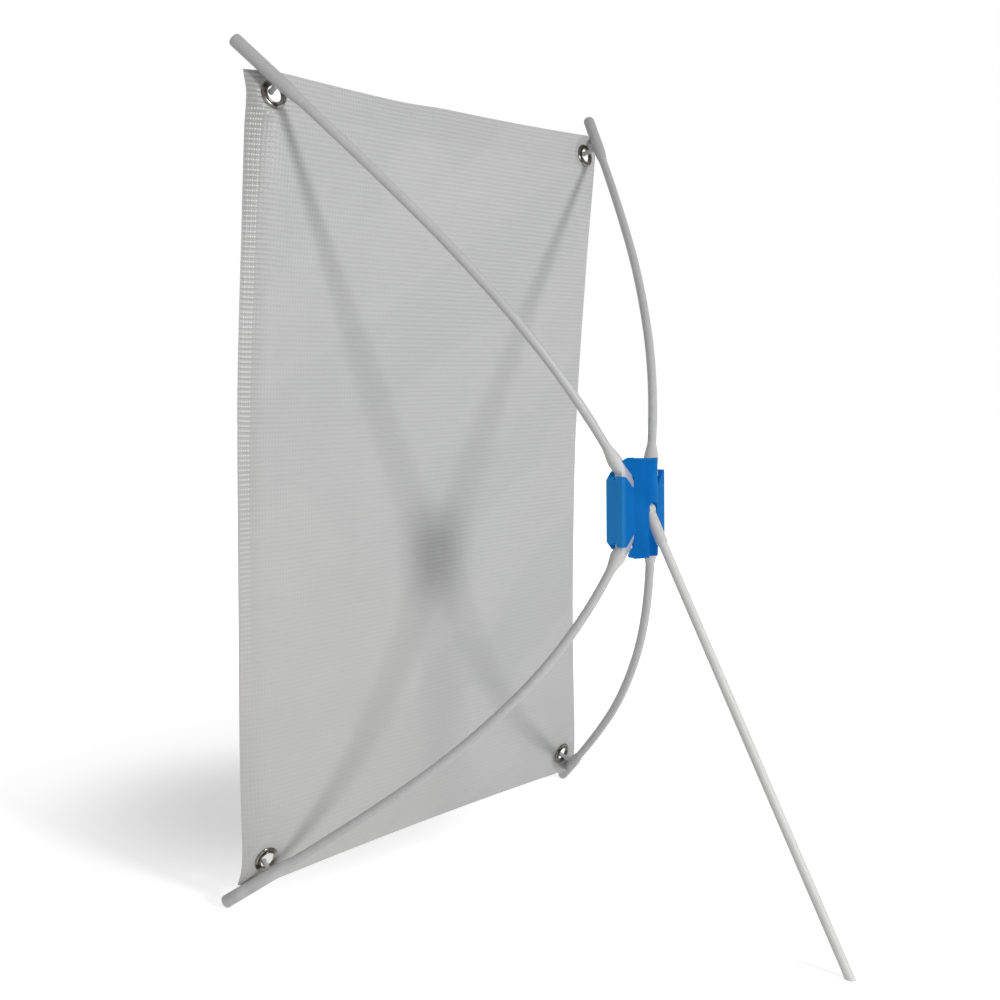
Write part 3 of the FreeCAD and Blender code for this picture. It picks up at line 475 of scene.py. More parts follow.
def side_depth(points, z):
    """The depth at height z on a smooth curve through a side's points."""
    k = 0
    while k < len(points) - 2 and z < points[k + 1][0]:
        k += 1
    (height, depth), (next_height, next_depth) = points[k:k + 2]
    before = points[max(k - 1, 0)]
    after = points[min(k + 2, len(points) - 1)]
    span = next_height - height
    start = (next_depth - before[1]) / (next_height - before[0]) * span
    end = (after[1] - depth) / (after[0] - height) * span
    share = (z - height) / span
    rise = next_depth - depth
    return depth + share * (start + share * (3 * rise - 2 * start - end + share * (start + end - 2 * rise)))


def middle_depth(z):
    """The depth at height z down the sheet's middle."""
    share = min(abs(z) / BELLY_HEIGHT, 1.0)
    depth = END_DEPTH - BELLY * math.cos(math.pi / 2 * share) ** BELLY_ROUNDNESS
    past = max(abs(z) - BELLY_HEIGHT, 0.0)
    return depth - END_TURN * past


def sheet_depth(x, z):
    """How far behind the eyelets' plane the sheet lies, in millimetres."""
    middle = middle_depth(z)
    side = side_depth(LEFT_SIDE if x > 0 else RIGHT_SIDE, z)
    corner = smooth(abs(z), 120, BELLY_HEIGHT)
    share = min(max((abs(x) - SIDE_STARTS) / (HALF_WIDTH - SIDE_STARTS), 0.0), 1.0)
    depth = middle + (side - middle) * share ** (2.4 + 0.4 * corner)
    for across, level in CORNERS.values():
        dx = x * across - EYELET_X
        dz = z * level - EYELET_Z
        reach = math.hypot(dx, dz)
        flat = -SIDE_FALL[across] * dx - END_FALL * dz
        depth += (flat - depth) * (1 - smooth(reach, *SEAT_RADII))
        # A soft crease runs from each eyelet towards the middle.
        along = -dx * CREASE_ACROSS - dz * CREASE_DOWN
        aside = -dx * CREASE_DOWN + dz * CREASE_ACROSS
        if along > 0:
            fading = smooth(along, 6, 20) * math.exp(-along / CREASE_LENGTH)
            depth -= CREASE_DEPTH * fading * math.exp(-(aside / CREASE_WIDTH) ** 2)
    return depth


print("depth in the middle of the sheet:", round(sheet_depth(0, 0), 2), "mm")

# %% [markdown]
# ## Cutting and shaping the sheet
# The sheet starts as a flat grid whose rows and columns are closer together along its edges, where it
# bends most. The flat place of each point is kept as a UV map in metres, so that the weave follows the
# cloth. The eyelets' holes are opened, the edges are drawn in, and the points move to their depth.

# %% The banner's mesh
COLUMNS = 96
ROWS = 136
# The band along each edge that gets the closer lines.
EDGE_BAND = 30.0
HOLE_RADIUS = 5.6
# How far the cut edges are drawn in: the long sides, the top and the bottom.
SIDE_DRAW = 1.0
TOP_DRAW = 2.8
BOTTOM_DRAW = 2.1


def closer_at_ends(even, reach, fine):
    """Move one line of an even run from -1 to 1, so the share fine of them is within reach of an end."""
    if abs(even) <= 1 - fine:
        return even / (1 - fine) * (1 - reach)
    return math.copysign(1 - (1 - abs(even)) / fine * reach, even)


sheet_shape = bmesh.new()
bmesh.ops.create_grid(sheet_shape, x_segments=COLUMNS, y_segments=ROWS, size=1.0)
for vert in sheet_shape.verts:
    vert.co.x = closer_at_ends(vert.co.x, EDGE_BAND / HALF_WIDTH, 0.42) * HALF_WIDTH
    vert.co.y = closer_at_ends(vert.co.y, EDGE_BAND / HALF_HEIGHT, 0.34) * HALF_HEIGHT
centres = [Vector((across * EYELET_X, level * EYELET_Z, 0)) for across, level in CORNERS.values()]
holes = [face for centre in centres for face in sheet_shape.faces
         if (face.calc_center_median() - centre).length < HOLE_RADIUS]
bmesh.ops.delete(sheet_shape, geom=holes, context="FACES")
for centre in centres:
    for vert in sheet_shape.verts:
        if vert.is_boundary and (vert.co - centre).length < 8.0:
            vert.co = centre + (vert.co - centre).normalized() * HOLE_RADIUS
cloth_map = sheet_shape.loops.layers.uv.new("cloth")
for face in sheet_shape.faces:
    for loop in face.loops:
        loop[cloth_map].uv = (loop.vert.co.x * MM, loop.vert.co.y * MM)
for vert in sheet_shape.verts:
    x, z = vert.co.x, vert.co.y
    drawn = 1 - SIDE_DRAW / HALF_WIDTH * (1 - (z / HALF_HEIGHT) ** 2) * abs(x / HALF_WIDTH) ** 3
    hollow = (TOP_DRAW if z > 0 else BOTTOM_DRAW) * (1 - (x / HALF_WIDTH) ** 2)
    if z > 0:
        # The top edge hangs a little lower on its left half.
        hollow += 1.4 * smooth(x, 0, 45) + 0.7 * smooth(x, 120, HALF_WIDTH)
    scalloped = 1 - hollow / HALF_HEIGHT * abs(z / HALF_HEIGHT) ** 8
    vert.co = Vector((x * drawn, sheet_depth(x, z), z * scalloped))
print("the sheet has", len(sheet_shape.faces), "faces before it gets its thickness")

# %% [markdown]
# ## Banner cloth, back and front
# The back shows the scrim inside the vinyl: ribs across the cloth every 2.5 mm, finer threads up it every
# 2 mm, and between them small glossy dimples. Where the long side curls away, rows of small painted
# highlights lie on the ribs as glints. The ribs are sine waves of the flat cloth's own UV map, and they
# feed a
# Bump node, so they follow the curl. The print on the front is a soft, generic pattern of large pale rounds
# and bands, and the back lets a trace of its light and dark areas through.

# %% Print and weave
RIB = 0.0025
THREAD = 0.0020
GLINT = 0.00105


def print_areas(finish, place):
    """Large soft rounds and broad slanting bands, from 0 to 1."""
    x, z, _ = finish.axes(place)
    wobble = finish.noise(place, 0.11, 2.0) - 0.5
    bands = ((x * 0.55 + z + wobble * 0.09) * (2 * math.pi / 0.118)).sine().ramp(-0.25, 0.25)
    cells = finish.node(
        "ShaderNodeTexVoronoi", {"feature": "F1"},
        {"Vector": place, "Scale": 1.0 / 0.072, "Randomness": 0.85})
    rounds = 1 - finish.field(cells, 0).ramp(0.36, 0.44)
    return bands, rounds, wobble


def weave(finish, place):
    """The height of ribs and threads, from 0 in a dimple to 1 on a rib."""
    x, z, _ = finish.axes(place)
    drift = finish.noise(place, 0.02, 2.0) * 0.0007
    rib = ((z + drift) * (2 * math.pi / RIB)).sine() * 0.5 + 0.5
    thread = ((x + drift) * (2 * math.pi / THREAD)).sine() * 0.5 + 0.5
    return rib, thread


print("the ribs are", RIB / MM, "mm apart")

# %% [markdown]
# ## The back of the cloth
# The tint starts from the print that shows through, and each line then lays one more thing over it: painted
# shade on the curled edge, a warmer foot, grime, painted highlights on threads and ribs, painted shade in
# the dimples, and painted glints.

# %% Back finish
back_finish = Finish("banner_back", Specular_IOR_Level=0.5)
back_place = back_finish.cloth_place()
back_x, back_z, _ = back_finish.axes(back_place)
bands, rounds, _ = print_areas(back_finish, back_place)
rib, thread = weave(back_finish, back_place)
grime = back_finish.noise(back_place, 0.05, 4.0)
dimple = (1 - rib) * (1 - thread)
tint = bands.mix((0.517, 0.518, 0.520), (0.545, 0.546, 0.545))
tint = (rounds * 0.55).mix(tint, (0.562, 0.564, 0.560))
# The strip along the curled left edge is painted darker, as painted shade.
tint = back_x.ramp(0.122, 0.134).mix(tint, (0.420, 0.418, 0.414))
warm = back_x.ramp(-0.07, 0.12) * (1 - back_z.ramp(-0.12, 0.12))
tint = (warm * 0.8).mix(tint, (0.575, 0.570, 0.552))
tint = (grime.ramp(0.45, 0.75) * 0.35).mix(tint, (0.500, 0.500, 0.498))
# The weave shows less towards the bottom. Its ribs and threads are painted lighter, as painted highlights,
# the threads most in patches on the left half, and its dimples are painted darker, as painted shade.
clear = back_z.ramp(-0.13, 0.10) * 0.75 + 0.25
thread_highlight_patches = back_finish.noise(back_place, 0.03, 2.0).ramp(0.45, 0.6) * back_x.ramp(-0.02, 0.06) * clear
tint = (thread.ramp(0.5, 1.0) * thread_highlight_patches * 0.25).mix(tint, (0.640, 0.645, 0.650))
tint = (rib.ramp(0.5, 1.0) * clear * 0.50).mix(tint, (0.590, 0.592, 0.595))
tint = (dimple * 0.16).mix(tint, (0.400, 0.401, 0.405))
# The glints are painted highlights. They lie in a narrow strip along the left edge, and fade towards the
# bottom.
curl = back_x.ramp(0.1325, 0.1335) * (1 - back_x.ramp(0.1385, 0.1392)) * (1 - back_z.ramp(0.190, 0.194))
dots = (back_x * (2 * math.pi / GLINT)).sine() * 0.5 + 0.5
glints = rib.ramp(0.55, 0.90) * dots.ramp(0.6, 0.95) * curl * back_z.ramp(-0.14, 0.04)
tint = glints.mix(tint, (0.95, 0.95, 0.95))
back_finish.set(
    Base_Color=tint,
    Roughness=0.42 - dimple * 0.22 + grime * 0.10,
    Normal=back_finish.bump((rib * 0.75 + thread * 0.25) * clear, 0.00030, 0.8),
)
print("mixed", back_finish.material.name)

# %% [markdown]
# ## The front of the cloth
# The front is smoother and shinier than the back, because the print fills the weave. Its two soft tints run
# into each other up the sheet, and the bands and rounds lie over them.

# %% Front finish
print_finish = Finish("banner_print", Specular_IOR_Level=0.5)
print_place = print_finish.cloth_place()
bands, rounds, wobble = print_areas(print_finish, print_place)
_, print_z, _ = print_finish.axes(print_place)
rib, thread = weave(print_finish, print_place)
ink = (print_z + wobble * 0.1).ramp(-0.20, 0.20).mix((0.62, 0.69, 0.66), (0.70, 0.74, 0.80))
ink = (bands * 0.55).mix(ink, (0.83, 0.82, 0.74))
ink = (rounds * 0.60).mix(ink, (0.86, 0.87, 0.86))
ink = (print_finish.noise(print_place, 0.004, 3.0).ramp(0.3, 0.7) * 0.08).mix(ink, (0.55, 0.57, 0.56))
print_finish.set(
    Base_Color=ink,
    Roughness=rib * 0.08 + 0.30,
    Normal=print_finish.bump(rib * 0.5 + thread * 0.3, 0.00008, 0.35),
)
print("mixed", print_finish.material.name)

# %% [markdown]
# ## The cloth gets its thickness
# A sheet with no thickness would be black or missing from one side in some programs. Solidify gives it half
# a millimetre, and the faces that look forward then take the printed finish.

# %% The banner as a piece
CLOTH = 0.5
bmesh.ops.recalc_face_normals(sheet_shape, faces=sheet_shape.faces)
bmesh.ops.solidify(sheet_shape, geom=sheet_shape.faces, thickness=CLOTH)
bmesh.ops.translate(sheet_shape, verts=sheet_shape.verts, vec=(0, CLOTH / 2, 0))
banner = finished(
    "banner", sheet_shape, STAND, back_finish, "banner", ["banner_sheet"], sharp=60)
banner.data.materials.append(print_finish.material)
for face in banner.data.polygons:
    face.material_index = 1 if face.normal.y < -0.4 else 0
print("the banner has", len(banner.data.polygons), "faces")

# %% [markdown]
# ## Eyelets
# Each corner has a pressed eyelet: a barrel with a flange comes through from the front, and its end is
# rolled over a domed washer on the back. Both are lathed profiles with few points, and Subdivision Surface
# rounds them as pressing does. The lathe's X axis is the eyelet's own axis, towards the rear.

# %% Eyelets and washers
# Points are (along the axis, radius), and each profile closes on its first point.
FLANGE = [
    (-0.42, 6.85), (-0.55, 6.90), (-0.74, 6.70), (-0.76, 5.6), (-0.72, 4.6), (-0.50, 4.22), (0.6, 4.20),
    (1.55, 4.22), (1.78, 4.45), (1.80, 4.85), (1.62, 5.22), (1.45, 5.20), (1.48, 4.85), (1.35, 4.56),
    (0.6, 4.55), (-0.38, 4.56), (-0.42, 5.2)]
COLLAR = [
    (0.65, 4.62), (0.42, 5.6), (0.42, 6.6), (0.48, 6.98), (0.66, 7.02), (0.86, 6.8), (1.22, 6.1),
    (1.34, 5.5), (1.24, 4.95), (1.16, 4.62)]


def ring(name, profile, seat, node):
    """A closed profile turned about its seat's axis and rounded, as one nickel piece on the banner."""
    shape = turned(profile + profile[:1], place=seat, steps=28)
    piece = finished(name, shape, STAND, nickel_finish, "banner", [node])
    smoother = piece.modifiers.new("rounded", "SUBSURF")
    smoother.levels = 2
    smoother.render_levels = 2
    return piece


for corner, (across, level) in CORNERS.items():
    outwards = Vector((across * SIDE_FALL[across], 1, level * END_FALL)).normalized()
    seat = aimed(Vector((across * EYELET_X, 0, level * EYELET_Z)), outwards, Vector((0, 0, 1)))
    ring("eyelet_ring_" + corner, FLANGE, seat, "eyelet_" + corner)
    ring("eyelet_collar_" + corner, COLLAR, seat, "eyelet_washer_" + corner)

# %% [markdown]
# ## Where the rods run
# A rod leaves its arm's socket straight, bends through three arcs that grow flatter, and ends straight in
# its sleeve beside the eyelet. `Bow` works out that line from a few angles, so that the rod, its sleeve
# and its arm all start from the same place.

# %% The line of one rod
ROD_RADIUS = 2.4
STRAIGHT = 17.4
BEFORE_PEG = 15.0
BEND_SHARES = (5 / 9, 3 / 9, 1 / 9)
REAR = Vector((0, 1, 0))
ARM_ANGLE = math.radians(60)
ELBOW = 13.0
# How far a rod bends in all, and how far its bow leans to the side, upper and lower.
BEND = {1: math.radians(20.16), -1: math.radians(30.82)}
TWIST = {1: math.radians(12.87), -1: math.radians(30.48)}
# An arm's pin lies this far across and up from the hub's centre, and a peg this far from its eyelet.
PIN_ACROSS = 6.25
PIN_UP = 7.7
PEG_OUT = 5.9
PEG_BACK = 8.3


class Bow:
    """The line of one rod, from its arm's pin to the peg on its sleeve."""

    def __init__(self, across, level):
        self.level = level
        self.bend = BEND[level]
        twist = TWIST[level] * across * level
        arm = Vector((across * math.cos(ARM_ANGLE), 0, level * math.sin(ARM_ANGLE)))
        self.pivot = HUB_CENTRE + PITCH @ Vector((across * PIN_ACROSS, 0, level * PIN_UP))
        self.arm = PITCH.to_3x3() @ arm
        self.elbow = self.pivot + self.arm * ELBOW
        eyelet = Vector((across * EYELET_X, 0, level * EYELET_Z))
        self.outward = eyelet.normalized()
        self.peg = eyelet + self.outward * PEG_OUT + REAR * PEG_BACK
        chord = self.peg - self.elbow
        ahead = chord.normalized()
        rise = (REAR - ahead * REAR.dot(ahead)).normalized()
        rise = rise * math.cos(twist) + ahead.cross(rise) * math.sin(twist)
        unit_x, unit_y = self.run(1.0)
        line_x = STRAIGHT + BEFORE_PEG * math.cos(self.bend)
        line_y = -BEFORE_PEG * math.sin(self.bend)
        square = unit_x ** 2 + unit_y ** 2
        twice = 2 * (line_x * unit_x + line_y * unit_y)
        rest = line_x ** 2 + line_y ** 2 - chord.length ** 2
        self.length = (-twice + math.sqrt(twice ** 2 - 4 * square * rest)) / (2 * square)
        tilt = math.atan2(line_y + self.length * unit_y, line_x + self.length * unit_x)
        self.along = ahead * math.cos(tilt) - rise * math.sin(tilt)
        self.side = ahead * math.sin(tilt) + rise * math.cos(tilt)
        self.tip = self.along * math.cos(self.bend) - self.side * math.sin(self.bend)
        self.shoulder = self.peg - self.tip * BEFORE_PEG

    def run(self, length):
        """Where the three arcs end, starting from the origin along X."""
        x = y = angle = 0.0
        for share in BEND_SHARES:
            radius = length / 3 / (self.bend * share)
            x += radius * (math.sin(angle + self.bend * share) - math.sin(angle))
            y += radius * (math.cos(angle + self.bend * share) - math.cos(angle))
            angle += self.bend * share
        return x, y


bows = {corner: Bow(*signs) for corner, signs in CORNERS.items()}
for corner, bow in bows.items():
    print("rod", corner, "bends along", round(bow.length, 1), "mm")

# %% [markdown]
# ## Rods
# A circle of 28 points is pushed out along the straight, spun about the centre of each arc, and pushed
# out again, so the rod keeps one round section and its faces lie in even rings.

# %% Make the rods
# Where a rod begins past the elbow, and how far it reaches into its sleeve.
ROD_START = 3.0
ROD_END = 12.0


def push(shape, edges, way):
    """Extrude a ring of edges and move the new ring; gives back the new ring's points and edges."""
    grown = bmesh.ops.extrude_edge_only(shape, edges=edges)["geom"]
    verts = [item for item in grown if isinstance(item, bmesh.types.BMVert)]
    kept = set(verts)
    bmesh.ops.translate(shape, verts=verts, vec=way)
    return verts, [item for item in grown
                   if isinstance(item, bmesh.types.BMEdge) and all(vert in kept for vert in item.verts)]


for corner, bow in bows.items():
    rod_shape = bmesh.new()
    bmesh.ops.create_circle(
        rod_shape, segments=28, radius=ROD_RADIUS, matrix=Matrix.Rotation(math.radians(90), 4, "Y"))
    bmesh.ops.translate(rod_shape, verts=rod_shape.verts, vec=(ROD_START, 0, 0))
    verts, edges = push(rod_shape, rod_shape.edges[:], (STRAIGHT - ROD_START, 0, 0))
    x, y, angle = STRAIGHT, 0.0, 0.0
    for share in BEND_SHARES:
        step = bow.bend * share
        radius = bow.length / 3 / step
        centre = Vector((x - radius * math.sin(angle), y - radius * math.cos(angle), 0))
        last = bmesh.ops.spin(
            rod_shape, geom=verts + edges, cent=centre, axis=(0, 0, 1), angle=-step, steps=14)["geom_last"]
        verts = [item for item in last if isinstance(item, bmesh.types.BMVert)]
        edges = [item for item in last if isinstance(item, bmesh.types.BMEdge)]
        angle += step
        x = centre.x + radius * math.sin(angle)
        y = centre.y + radius * math.cos(angle)
    push(rod_shape, edges, (ROD_END * math.cos(angle), -ROD_END * math.sin(angle), 0))
    open_edges = [edge for edge in rod_shape.edges if edge.is_boundary]
    bmesh.ops.holes_fill(rod_shape, edges=open_edges, sides=0)
    place = STAND @ aimed(bow.elbow, bow.along, bow.side)
    rod = finished(
        "sprung_rod_" + corner, rod_shape, place, rod_finish, "arm_" + corner,
        ["rod_" + corner])
    print("made", rod.name)

# %% [markdown]
# ## End sleeves and their pegs
# A moulded sleeve closes each rod's end and carries a small peg, which the eyelet hooks over. The sleeve
# tapers down to the rod at its mouth, and its outer end is rounded off.

# %% Make the sleeves
SLEEVE = [
    (0.0, 2.40), (0.1, 2.47), (1.5, 2.56), (3.0, 2.70), (5.0, 2.93), (7.5, 3.18), (10.0, 3.34),
    (12.5, 3.40), (20.0, 3.40), (32.0, 3.40), (44.2, 3.40), (44.9, 3.22), (45.4, 2.85), (45.7, 2.2),
    (45.7, 0.0)]
PEG = [
    (0.0, 0.0), (0.0, 1.75), (3.1, 1.75), (3.6, 1.45), (4.2, 1.32), (9.9, 1.30), (10.2, 1.50),
    (10.7, 1.55), (11.0, 1.35), (11.2, 0.9), (11.2, 0.0)]
PEG_LEAN = math.radians(25)
for corner, bow in bows.items():
    sleeve = turned(SLEEVE, place=aimed(bow.shoulder, bow.tip, REAR))
    point = -REAR * math.cos(PEG_LEAN) - bow.outward * math.sin(PEG_LEAN)
    turned(PEG, shape=sleeve, place=aimed(bow.peg, point, bow.tip))
    finished(
        "end_sleeve_" + corner, sleeve, STAND, sleeve_shaded_finish, "arm_" + corner,
        ["tip_" + corner])
print("made", len(bows), "sleeves")

# %% [markdown]
# ## Arms
# An arm is one moulding: a flat tongue with an eye for its pin, and a swollen socket that grips the rod,
# cranked forward at the elbow. The plain parts overlap, and a voxel Remesh melts them into one skin whose
# inner corners Smooth then softens, as a moulding's fillets are.

# %% One skin over plain parts
VOXEL = 0.34
SOFTENING = 5


def melted(shape):
    """One soft skin over the overlapping parts of a shape."""
    mesh = bpy.data.meshes.new("blank")
    shape.to_mesh(mesh)
    shape.free()
    blank = bpy.data.objects.new("blank", mesh)
    bpy.context.scene.collection.objects.link(blank)
    skin = blank.modifiers.new("skin", "REMESH")
    skin.mode = "VOXEL"
    skin.voxel_size = VOXEL
    soften = blank.modifiers.new("soften", "SMOOTH")
    soften.factor = 0.5
    soften.iterations = SOFTENING
    depsgraph = bpy.context.evaluated_depsgraph_get()
    skinned = bpy.data.meshes.new_from_object(blank.evaluated_get(depsgraph))
    bpy.data.objects.remove(blank)
    bpy.data.meshes.remove(mesh)
    result = bmesh.new()
    result.from_mesh(skinned)
    bpy.data.meshes.remove(skinned)
    return result


print("parts can be melted with voxels of", VOXEL, "mm")

# %% [markdown]
# ## The parts of an arm
# The tongue is a block, the eye and the elbow are short cylinders across it, and the socket is a lathed
# bulb along the rod, which swells differently above and below.

# %% Make the arms
HUB_REAR = PITCH.to_3x3() @ REAR
# The swollen sockets, upper and lower, as (along the rod, radius).
SOCKETS = {
    1: ((0, 0), (0, 2.7), (2, 3.25), (4.5, 3.75), (7.0, 3.92), (9.5, 3.72), (12.0, 3.25), (14.5, 2.75),
        (16.5, 2.47), (16.5, 0)),
    -1: ((0, 0), (0, 2.7), (2, 3.6), (4.6, 4.15), (6.2, 4.08), (8.5, 3.55), (10.5, 3.05), (12.3, 2.68),
         (14.0, 2.47), (14.0, 0)),
}
HALF_ARM = 2.3
EYE_RADIUS = 4.5
EYE_BORE = 1.56
ELBOW_RADIUS = 3.6
TONGUE_START = 2.2
TONGUE = Vector((11.5, 2 * HALF_ARM, 8.2))
EYE = (
    (-HALF_ARM, EYE_BORE), (-HALF_ARM, EYE_RADIUS), (HALF_ARM, EYE_RADIUS), (HALF_ARM, EYE_BORE),
    (-HALF_ARM, EYE_BORE))
DISC = ((-HALF_ARM, 0), (-HALF_ARM, ELBOW_RADIUS), (HALF_ARM, ELBOW_RADIUS), (HALF_ARM, 0))
PIN_WAY = Matrix.Rotation(math.radians(-90), 4, "Z").inverted()
for corner, bow in bows.items():
    flat = aimed(bow.pivot, bow.arm, HUB_REAR)
    arm = bmesh.new()
    tongue = bmesh.ops.create_cube(arm, size=1.0)["verts"]
    bmesh.ops.scale(arm, verts=tongue, vec=TONGUE)
    bmesh.ops.translate(arm, verts=tongue, vec=(TONGUE_START + TONGUE.x / 2, 0, 0))
    turned(EYE, shape=arm, place=PIN_WAY)
    turned(DISC, shape=arm, place=Matrix.Translation((ELBOW, 0, 0)) @ PIN_WAY)
    bmesh.ops.transform(arm, matrix=flat, verts=arm.verts)
    turned(SOCKETS[bow.level], shape=arm, place=aimed(bow.elbow, bow.along, REAR))
    bmesh.ops.recalc_face_normals(arm, faces=arm.faces)
    arm = melted(arm)
    piece = finished(
        "cranked_arm_" + corner, arm, STAND, moulded_finish, "arm_" + corner,
        ["arm_" + corner], sharp=60)
    print("made", piece.name, "with", len(piece.data.polygons), "faces")

# %% [markdown]
# ## Hub's rear shell, drawn flat
# From behind, the shell is a deep column with a flared head and foot, and a wing on each side; a notch
# between wing and column lets each arm out. A sculpted block could give that too, but the real shell has
# flat facets, so it starts as one flat face with that outline. Only its left half is listed, and the right
# half mirrors it.

# %% The shell's outline
HEAD = ((16.0, 25.3), (15.0, 26.4), (13.2, 27.3), (5.0, 27.3), (0.0, 27.3))
FOOT = ((14.4, -22.8), (13.4, -23.9), (8.0, -25.1), (3.7, -25.3))
NOTCH_UP = (
    (19.2, 17.6), (18.6, 18.0), (16.4, 17.4), (11.5, 12.2), (10.9, 11.7), (10.5, 12.2), (10.4, 16.4))
NOTCH_DOWN = (
    (19.2, -17.8), (18.6, -18.3), (16.4, -18.1), (11.5, -12.7), (10.9, -12.1), (10.5, -12.7),
    (10.4, -16.6))
SLOT_RADIUS = 3.7
SLOT_CENTRE = 0.4


def mirrored(points):
    """The same points across the hub's middle, in the order that goes on round the outline."""
    return [Vector((-point.x, point.y, 0)) for point in reversed(points)]


left_half = [Vector((x, y, 0)) for x, y in (NOTCH_DOWN + FOOT)[::-1] + NOTCH_UP + HEAD]
right_half = mirrored([point for point in left_half if point.x > 0.01])
slot_turns = [math.radians(22.5 * k) for k in range(5)]
slot_left = [
    Vector((SLOT_RADIUS * math.cos(turn), SLOT_CENTRE + SLOT_RADIUS * math.sin(turn), 0))
    for turn in slot_turns]
slot_right = mirrored(slot_left[:-1])
outline = left_half + right_half + (slot_left + slot_right)[::-1]
print("the shell's outline has", len(outline), "points")

# %% [markdown]
# ## The shell's folds
# Seen along the hub, the shell's section is a roof: a crown in the middle, a flank that slopes down to each
# side, and a lower wing. Two small rules give the depth of the rear surface and the skew of its ends.

# %% Depth and ends of the shell
CROWN = 10.9
CROWN_HALF = 4.5
FLANK_SLOPE = 0.68
FLANK_END = 10.5
WING_END = 16.5
WING_TOP = 18.6
FOOT_DEPTH = 4.2
WING_DEPTH = 5.75
RIM_DEPTH = 4.4


def shell_depth(x, y):
    """How far behind the arms' middle plane the shell's rear surface lies."""
    across = abs(x)
    flank = CROWN - 1.0 - (across - CROWN_HALF) * FLANK_SLOPE
    if across <= CROWN_HALF:
        return CROWN - 1.0 * (across / CROWN_HALF) ** 2
    if across < FLANK_END or y > WING_TOP:
        return flank
    if y < -WING_TOP:
        return max(flank, FOOT_DEPTH)
    return WING_DEPTH - (across - 10.4) / 6.0 * 0.5 if across <= WING_END else RIM_DEPTH


def end_slope(x, y):
    """The head, the foot and one wing are cut a little askew, as they look in the photograph."""
    if y > 22.5:
        return 0.6 - 0.05 * x
    if y < -22.0:
        return -0.0175 * x * x if x < 0 else 0.0
    return -1.4 if x < -16.0 and y > 15.0 else 0.0


print("the crown is", shell_depth(0, 0), "mm deep and the wing", round(shell_depth(14, 0), 2), "mm")

# %% [markdown]
# ## Cutting and folding the shell
# Bisect cuts the flat face along the lines where the real shell bends, and one extrude gives it a front
# and a rear. The rear points then move to their depth, and the front points to theirs, leaning the
# notches' walls in under the column, so the white arms show. A strip closes the leg's slot at its floor.

# %% Make the shell's shape
BENDS = (2.0, -2.0, 4.5, -4.5, 10.4, -10.4, 10.9, -10.9, 16.4, -16.4, 18.6, -18.6, 0.0)
WALL_LEAN = 1.25
# Where the front points go: at the wings' rims, at the head, and elsewhere.
RIM_FRONT = -0.6
HEAD_FRONT = -1.0
FRONT = -3.1
SLOT_FLOOR = (8.4, 29.5, 0.5)
SLOT_FLOOR_PLACE = (0, -9.2, -3.35)
shell = bmesh.new()
shell.faces.new([shell.verts.new(point) for point in outline])
for across in BENDS:
    bmesh.ops.bisect_plane(
        shell, geom=shell.verts[:] + shell.edges[:] + shell.faces[:],
        plane_co=(across, 0, 0), plane_no=(1, 0, 0), dist=0.0001)
print("the shell's outline is cut into", len(shell.faces), "faces")
grown = bmesh.ops.extrude_face_region(shell, geom=shell.faces[:])["geom"]
rear = {item for item in grown if isinstance(item, bmesh.types.BMVert)}
for vert in shell.verts:
    x, y = vert.co.x, vert.co.y
    if vert in rear:
        depth = shell_depth(x, y)
        rounding = 0.9 * (depth / 10.0) ** 2 if abs(y) > 22.5 else 0.0
        vert.co = (x, y - math.copysign(rounding, y) - end_slope(x, y), -depth)
    else:
        front = RIM_FRONT if abs(x) > 16.8 else HEAD_FRONT if y > WING_TOP else FRONT
        flank = 9.0 < abs(x) < 16.5 and abs(y) > 16.0 and (abs(x) < 10.8 or abs(y) > WING_TOP)
        at_notch = 9.0 < abs(x) < 11.2 and abs(y) > 11.0
        lean = WALL_LEAN * (shell_depth(x, y) + front) if flank or at_notch else 0.0
        vert.co = (x - math.copysign(lean, x), y - end_slope(x, y) - (0.4 if y > 22.5 else 0.0), front)
floor_strip = bmesh.ops.create_cube(shell, size=1.0)["verts"]
bmesh.ops.scale(shell, verts=floor_strip, vec=SLOT_FLOOR)
bmesh.ops.translate(shell, verts=floor_strip, vec=SLOT_FLOOR_PLACE)
print("the shell's shape has", len(shell.faces), "faces")

# %% [markdown]
# ## The shell's soft edges
# A mould leaves no edge sharp, and a narrow Bevel modifier rounds them all at once, which an edge loop
# by hand wouldn't. The tinted shell lets most of the lamp's light through, so it casts no shadow here and
# the white arms inside it stay bright.

# %% The shell as a piece
def soft_edges(piece, width, sharp=28):
    """Round a piece's sharp edges, as a mould does."""
    bevel = piece.modifiers.new("soft_edges", "BEVEL")
    bevel.width = width * MM
    bevel.segments = 3
    bevel.limit_method = "ANGLE"
    bevel.angle_limit = math.radians(sharp)
    return piece


rear_shell = finished(
    "hub_shell", shell, HUB, hub_finish, "hub", ["hub_rear_shell"], sharp=28)
soft_edges(rear_shell, 0.45)
rear_shell.visible_shadow = False
print("the rear shell has", len(rear_shell.data.polygons), "faces")

# %% [markdown]
# ## Hub's front plate and the leg's knuckle
# These two have the right form already, but with edges that a mould never has. A clean copy of each
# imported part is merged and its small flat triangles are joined, and then a narrow Bevel rounds its edges.

# %% Soft-edged copies
def soft_copy(name, node, finish, body, edge, sharp=30):
    """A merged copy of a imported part, with its sharp edges bevelled."""
    shape = bmesh.new()
    shape.from_mesh(nodes[node].data)
    bmesh.ops.remove_doubles(shape, verts=shape.verts, dist=0.000002)
    bmesh.ops.dissolve_limit(
        shape, angle_limit=math.radians(0.5), verts=shape.verts, edges=shape.edges)
    piece = finished(name, shape, Matrix.Identity(4), finish, body, [node], sharp)
    return soft_edges(piece, edge, sharp)


soft_copy("hub_plate", "hub_front_plate", hub_finish, "hub", 0.40)
soft_copy("knuckle", "leg_knuckle", moulded_finish, "leg", 0.25)
print("softened the plate and the knuckle")

